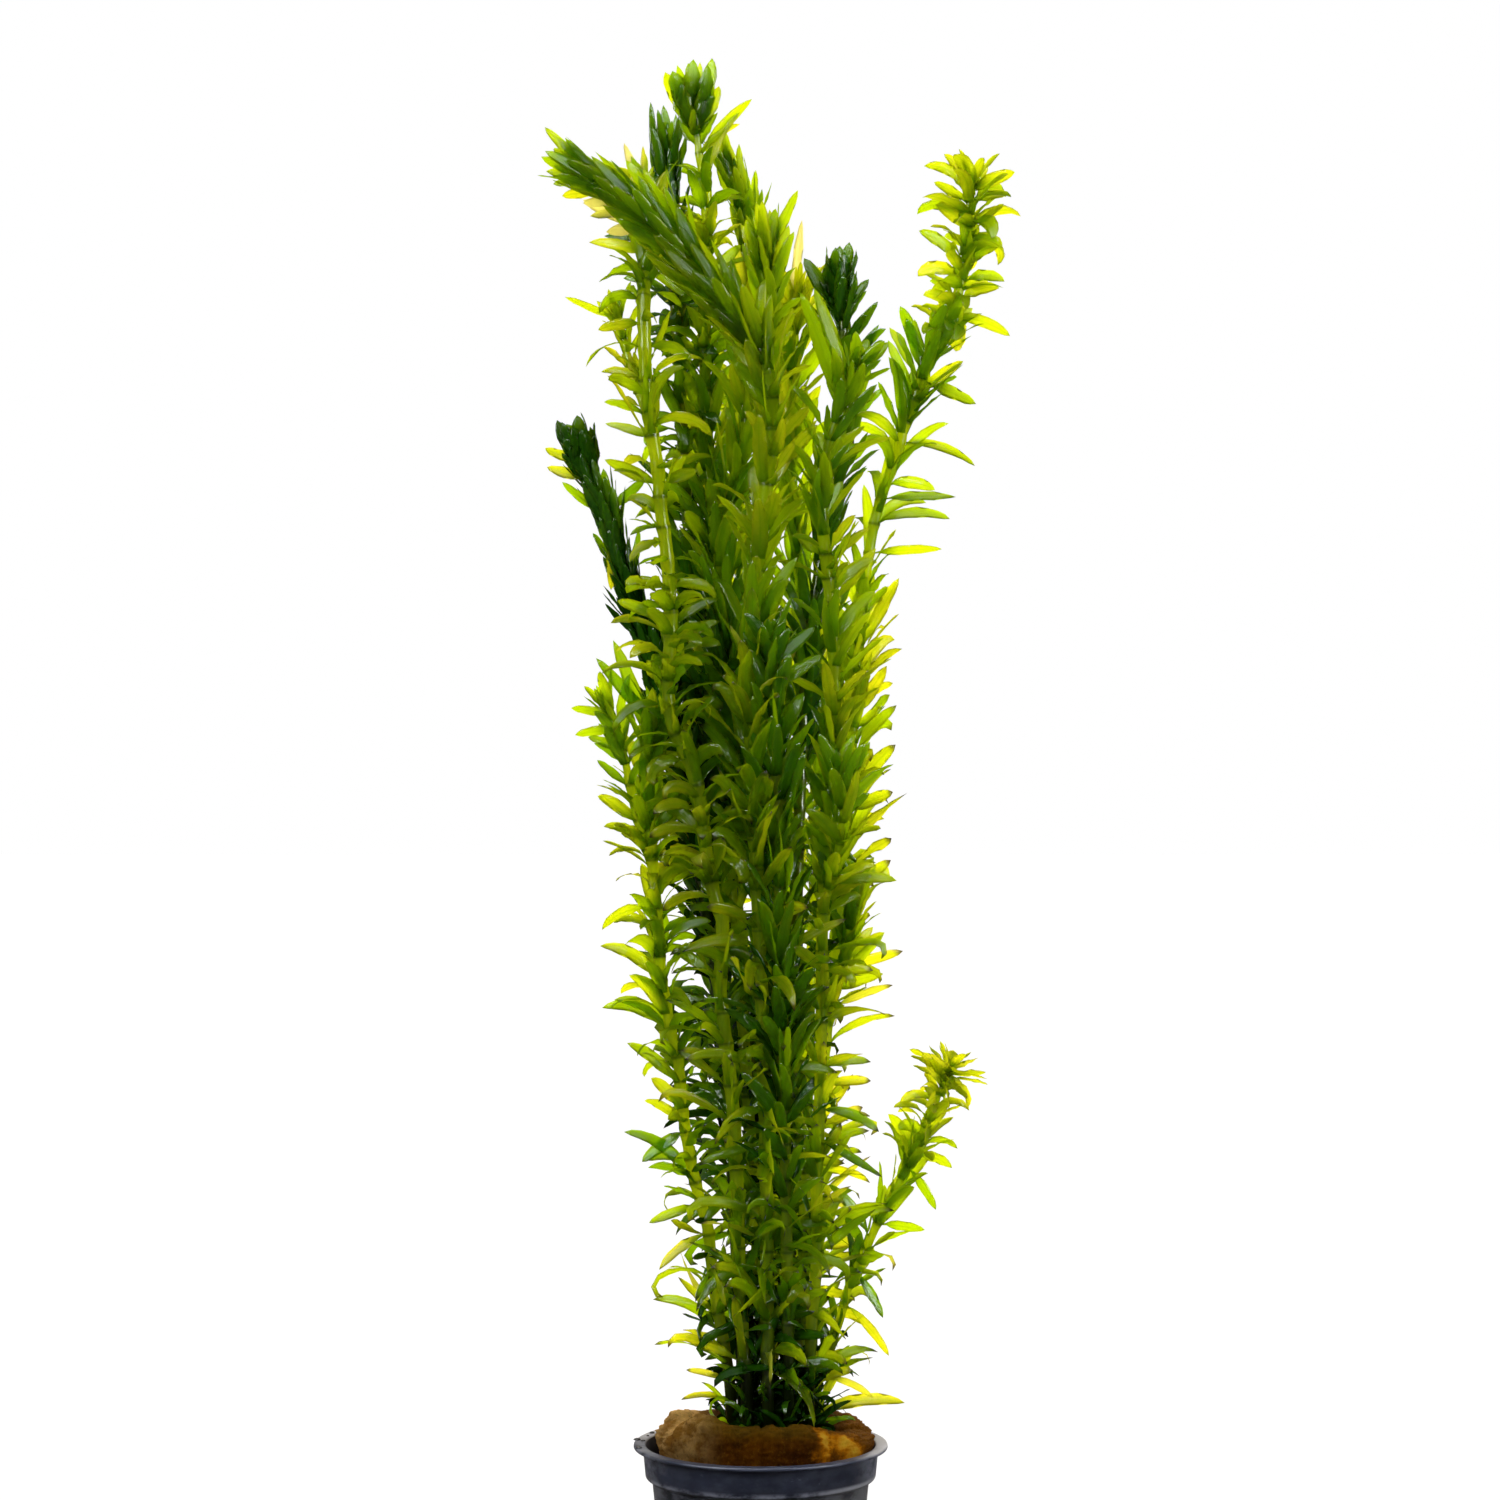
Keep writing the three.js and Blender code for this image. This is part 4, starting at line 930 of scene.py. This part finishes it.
def pot_material():
    """Dark plastic: film and painted reflection below the band, painted side highlights, painted flange
    sheen, painted shade inside.
    """
    tree = Tree(bpy.data.materials.new("pot_plastic"))
    place = tree.place()
    across, behind, height = tree.put("SeparateXYZ", {"Vector": place})
    side = tree.math("ABSOLUTE", across)
    flat_place = tree.put("Mapping", {"Vector": place, "Scale": (1, 1, 0)})[0]
    radius = tree.put("VectorMath", {0: flat_place}, operation="LENGTH")["Value"]
    smear = tree.speckle(85, 4, 0.6)
    film = tree.speckle(190, 5, 0.6, (1, 1, 1.8))
    grain = tree.speckle(2600, 2)
    scuffs = tree.speckle(430, 5, 0.7, (1, 1, 2.5))
    below_band = tree.ramp(height, 0.0443, 0.0428)
    from_step = tree.math("ABSOLUTE", tree.math("SUBTRACT", height, 0.0429))
    # Film below the band and at the sides, strongest at the front: partly real film, partly a painted
    # reflection of the floor.
    film_and_reflection = tree.times(
        tree.math("MAXIMUM", below_band, tree.ramp(side, 0.019, 0.0255, 0.3, 0.03)),
        tree.ramp(film, 0.38, 0.62),
        tree.ramp(height, 0.028, 0.038, 1, 0.12),
        tree.ramp(behind, 0.008, -0.01, 1, 0.12),
    )
    # Painted highlight down the right side and both edges of the wall below the band.
    right = tree.ramp(across, 0.009, 0.019, 0.95)
    side_highlight = tree.times(
        tree.math("MAXIMUM", right, tree.ramp(side, 0.0205, 0.0236, 0.5)),
        below_band,
        tree.ramp(height, 0.033, 0.039),
        tree.ramp(film, 0.25, 0.5, 1, 0.2),
    )
    # Painted sheen on the flange top, towards the back and the right.
    back = tree.ramp(behind, -0.004, 0.012)
    flange_sheen = tree.math("MAXIMUM", back, tree.ramp(across, 0.019, 0.026))
    # Painted shade inside the mouth: the inner wall is made nearly black.
    inner_shade = tree.times(tree.ramp(radius, 0.0252, 0.0247), tree.ramp(height, 0.0499, 0.0495, 0.85))
    body = tree.layered(
        tree.mixed(tree.ramp(smear, 0.3, 0.75), (0.013, 0.016, 0.029), (0.027, 0.032, 0.054)),
        (film_and_reflection, (0.62, 0.65, 0.8)),
        (side_highlight, (0.9, 0.92, 1)),
        (tree.times(flange_sheen, tree.ramp(height, 0.0495, 0.0498, 0.8)), (0.5, 0.5, 0.56)),
        # Painted highlight: a pale line along the step below the band.
        (tree.ramp(from_step, 0.0008, 0.0002, 0.2), (0.3, 0.31, 0.38)),
        (tree.ramp(scuffs, 0.64, 0.72, 0.35), (0.16, 0.16, 0.2)),
        (inner_shade, (0.002, 0.002, 0.003)),
    )
    normal = tree.bumped(tree.math("ADD", smear, tree.times(grain, 0.15)), 0.0004, 0.2)
    return tree.finish(body, tree.ramp(smear, 0.3, 0.7, 0.46, 0.36), 0.3, normal)


def make_pot():
    points, faces = turned(rounded(POT_OUTLINE), POT_SIDES)
    pot = new_piece("pot_moulded", points, faces, [pot_material()])
    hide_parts("pot")


def wool_material():
    """Brown fibres, pale on the left, with painted shade low down and a painted glow of light through it on
    the right.
    """
    tree = Tree(bpy.data.materials.new("mineral_wool"))
    lumps = tree.speckle(160, 4, 0.6)
    strands = tree.speckle(1500, 5, 0.7, (1, 1, 0.5))
    place = tree.place()
    across, _, height = tree.put("SeparateXYZ", {"Vector": place})
    pale = tree.mixed(tree.ramp(lumps, 0.4, 0.6), (0.42, 0.2, 0.03), (1, 0.62, 0.2))
    from_glow = tree.put("VectorMath", {0: place, 1: WOOL_GLOW}, operation="DISTANCE")["Value"]
    uneven = tree.times(tree.math("SUBTRACT", lumps, 0.5), 0.022)
    far = tree.math("ADD", from_glow, uneven)
    body = tree.layered(
        tree.mixed(tree.ramp(lumps, 0.35, 0.65), (0.025, 0.006, 0.0001), (0.16, 0.052, 0.0004)),
        (tree.ramp(height, 0.0535, 0.058, 0.5), (0.3, 0.18, 0.012)),
        (tree.ramp(across, -0.007, -0.018, 0.9), pale),
        # Warmer, paler colour on the right, part of the painted glow.
        (tree.ramp(across, 0.012, 0.021, 0.4), (0.45, 0.18, 0.006)),
        # Painted shade: the wool darkens below its crest, down towards the flange and in its hollow.
        (tree.ramp(height, 0.055, 0.0505, 0.45), (0.06, 0.014, 0.0004)),
        (tree.ramp(strands, 0.5, 0.72, 0.35), (0.34, 0.16, 0.012)),
        (tree.ramp(strands, 0.5, 0.3, 0.45), (0.04, 0.012, 0.001)),
        # Painted glow of light coming through the wool near the right, with a bright core.
        (tree.ramp(far, 0.0085, 0.002, 0.9), (1, 0.33, 0.003)),
        (tree.ramp(far, 0.0048, 0.001), (1, 0.58, 0.04)),
    )
    normal = tree.bumped(tree.math("ADD", strands, lumps), 0.0011, 0.9)
    return tree.finish(body, 0.9, 0.04, normal, body, 0.25)


def wool_crest(angle, x):
    crest = WOOL_CREST + WOOL_SLOPE * x - WOOL_LEAN * math.sin(angle)
    for direction, width, height in WOOL_BUMPS:
        off = (math.degrees(angle) - direction + 180) % 360 - 180
        crest += height * math.exp(-((off / width) ** 2))
    return crest


def wool_point(part, height, rise, angle):
    """A point of a ring of the wool, moved by lumps, strands and the seam where the strip ends."""
    radius = (WOOL_RADIUS + WOOL_LEAN * math.cos(angle)) * part
    x = radius * math.cos(angle)
    y = radius * math.sin(angle)
    z = height + (wool_crest(angle, x) - WOOL_HOLLOW) * rise
    spot = Vector((x, y, z))
    lump = noise.fractal(spot * 0.16, 1.0, 2.0, 3) * WOOL_LUMP
    ring = Vector((radius * 0.9, math.atan2(y, x) * 3, z * 0.9))
    strand = noise.fractal(ring + spot * 0.5, 0.7, 2.2, 4) * WOOL_STRAND
    off = ((angle - SEAM_DIRECTION + math.pi) % TURN - math.pi) * WOOL_RADIUS
    seam = SEAM_DEPTH * math.exp(-((off / SEAM_WIDTH) ** 2)) * smooth((z - SEAM_FROM) / 4)
    depth = lump + strand - seam
    above = smooth((z - ROUGH_FROM) / 6)
    tilt = smooth((part - 0.62) / 0.38)
    outwards = depth * tilt * (0.3 + 0.7 * above) / (math.hypot(x, y) or 1)
    return x + x * outwards, y + y * outwards, z + depth * (1 - tilt * 0.6) * above


def make_wool():
    rings = smooth_line(np.array(WOOL_RINGS))
    points = [(0, 0, WOOL_FOOT)]
    for part, height, rise in rings:
        for side in range(WOOL_SIDES):
            points.append(wool_point(part, height, rise, side * TURN / WOOL_SIDES))
    points.append((0, 0, WOOL_HOLLOW))
    faces = closed_faces(len(rings), WOOL_SIDES)
    wool = new_piece("wool_strip", points, faces, [wool_material()])
    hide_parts("rock_wool")


# Dark crumbs on the flange, each [across, down, radius]
CRUMBS = [[639, 1448, 0.7], [637, 1440, 0.75], [643, 1441, 0.5], [652, 1433, 0.6], [648, 1436, 0.35]]
CRUMB_SIDES = 10
CRUMB_UNEVEN = 0.5
CRUMB_OUTLINE = [[0, -0.02], [0.9, -0.02], [1, 0.15], [0.75, 0.4], [0.35, 0.55], [0, 0.6]]


def crumb_material():
    tree = Tree(bpy.data.materials.new("dark_crumb"))
    grit = tree.speckle(2500)
    body = tree.mixed(grit, (0.002, 0.002, 0.002), (0.03, 0.024, 0.018))
    return tree.finish(body, 0.6, 0.5, tree.bumped(grit, 0.0002, 0.8))


def make_crumbs():
    points = []
    faces = []
    for across, down, radius in CRUMBS:
        scale = (EYE_HEIGHT - POT_HEIGHT) / (down - EYE_MIDDLE)
        spot = place_at_depth(across, down, scale * EYE_FOCAL - EYE_BACK)
        lump, lump_faces = turned(CRUMB_OUTLINE, CRUMB_SIDES)
        for point in lump:
            point[:2] *= 1 + CRUMB_UNEVEN * noise.noise(Vector(point) * 1.3 + Vector(spot))
        faces += shifted(lump_faces, len(points))
        points += list(lump * radius + spot)
    new_piece("flange_crumbs", points, faces, [crumb_material()])


# Stage

# Bright panels that only shiny surfaces show: directions, the cosines of their reach, and their strength
PANELS = [(-0.68, -0.62, 0.39), (0.74, -0.56, 0.37), (-0.1, -0.5, 0.86)]
PANEL_RIM = 0.93
PANEL_CORE = 0.955
PANEL_SHINE = 17
FLOOR_HALF = 6.0
FLOOR_DOWN = -0.0002


def make_world():
    """A bright wall behind the plant, which the camera sees as white, and panels for the shine."""
    world = bpy.data.worlds.new("studio")
    bpy.context.scene.world = world
    tree = Tree(world)
    place = tree.put("TexCoord")["Generated"]
    _, behind, height = tree.put("SeparateXYZ", {"Vector": place})
    ambient = tree.ramp(behind, -0.3, 0.6, 0.6, 0.08)
    lamp = tree.ramp(behind, 0.5, 0.95, 5.6)
    top = tree.ramp(height, 0.2, 1, 0.3)
    strength = tree.math("ADD", tree.math("ADD", ambient, lamp), top)
    tint = tree.mixed(tree.ramp(behind, -0.4, 0.3), (0.75, 0.82, 1), (1, 0.9, 0.74))
    lit = tree.put("Background", {"Color": tint, "Strength": strength})[0]
    mirror = tree.ramp(behind, -0.2, 0.4, 0.14, 0.02)
    for direction in PANELS:
        near = tree.put("VectorMath", {0: place, 1: direction}, operation="DOT_PRODUCT")["Value"]
        mirror = tree.math("ADD", mirror, tree.ramp(near, PANEL_RIM, PANEL_CORE, PANEL_SHINE))
    mirrored = tree.put("Background", {"Color": (0.93, 0.95, 1), "Strength": mirror})[0]
    seen = tree.put("Background", {"Color": (1, 1, 1), "Strength": 1})[0]
    path = tree.put("LightPath")
    unseen = tree.put("MixShader", {0: path["Is Glossy Ray"], 1: lit, 2: mirrored})[0]
    both = tree.put("MixShader", {0: path["Is Camera Ray"], 1: unseen, 2: seen})[0]
    tree.put("OutputWorld", {"Surface": both})


def make_floor():
    """A floor that looks nearly white to the camera and throws little light on the plant."""
    tree = Tree(bpy.data.materials.new("pale_floor"))
    matte = tree.put("BsdfDiffuse", {"Color": (0.2, 0.2, 0.2)})[0]
    glow = tree.put("Emission", {"Color": (1, 1, 1), "Strength": 0.86})[0]
    bright = tree.put("AddShader", {0: matte, 1: glow})[0]
    dim = tree.put("BsdfDiffuse", {"Color": (0.08, 0.08, 0.08)})[0]
    camera_ray = tree.put("LightPath")["Is Camera Ray"]
    both = tree.put("MixShader", {0: camera_ray, 1: dim, 2: bright})[0]
    tree.put("OutputMaterial", {"Surface": both})
    mesh = bpy.data.meshes.new("floor")
    ways = [(-1, -1), (1, -1), (1, 1), (-1, 1)]
    mesh.from_pydata([(x * FLOOR_HALF, y * FLOOR_HALF, FLOOR_DOWN) for x, y in ways], [], [(0, 1, 2, 3)])
    mesh.materials.append(tree.owner)
    add_object("floor", mesh)


def add_area_light(name, place, aim, size, power):
    data = bpy.data.lights.new(name, "AREA")
    data.shape = "DISK"
    data.size = size
    data.energy = power
    light = add_object(name, data)
    light.location = place
    light.rotation_euler = (Vector(aim) - Vector(place)).to_track_quat("-Z", "Y").to_euler()


def make_lights():
    add_area_light("key", (-0.7, -0.9, 0.75), (0, 0, 0.2), 0.42, 5.4)
    add_area_light("fill", (0.9, -0.5, 0.35), (0, 0, 0.12), 0.4, 3.4)


def make_camera():
    data = bpy.data.cameras.new("front")
    data.lens = 85
    data.sensor_width = 36
    camera = add_object("front", data)
    camera.location = (EYE_SIDE * MM, -EYE_BACK * MM, EYE_HEIGHT * MM)
    camera.rotation_euler = (math.radians(90), 0, 0)
    bpy.context.scene.camera = camera


make_camera()
make_pot()
make_wool()
make_crumbs()
grow_shoots()
make_world()
make_floor()
make_lights()
bpy.context.scene.view_settings.view_transform = "Standard"
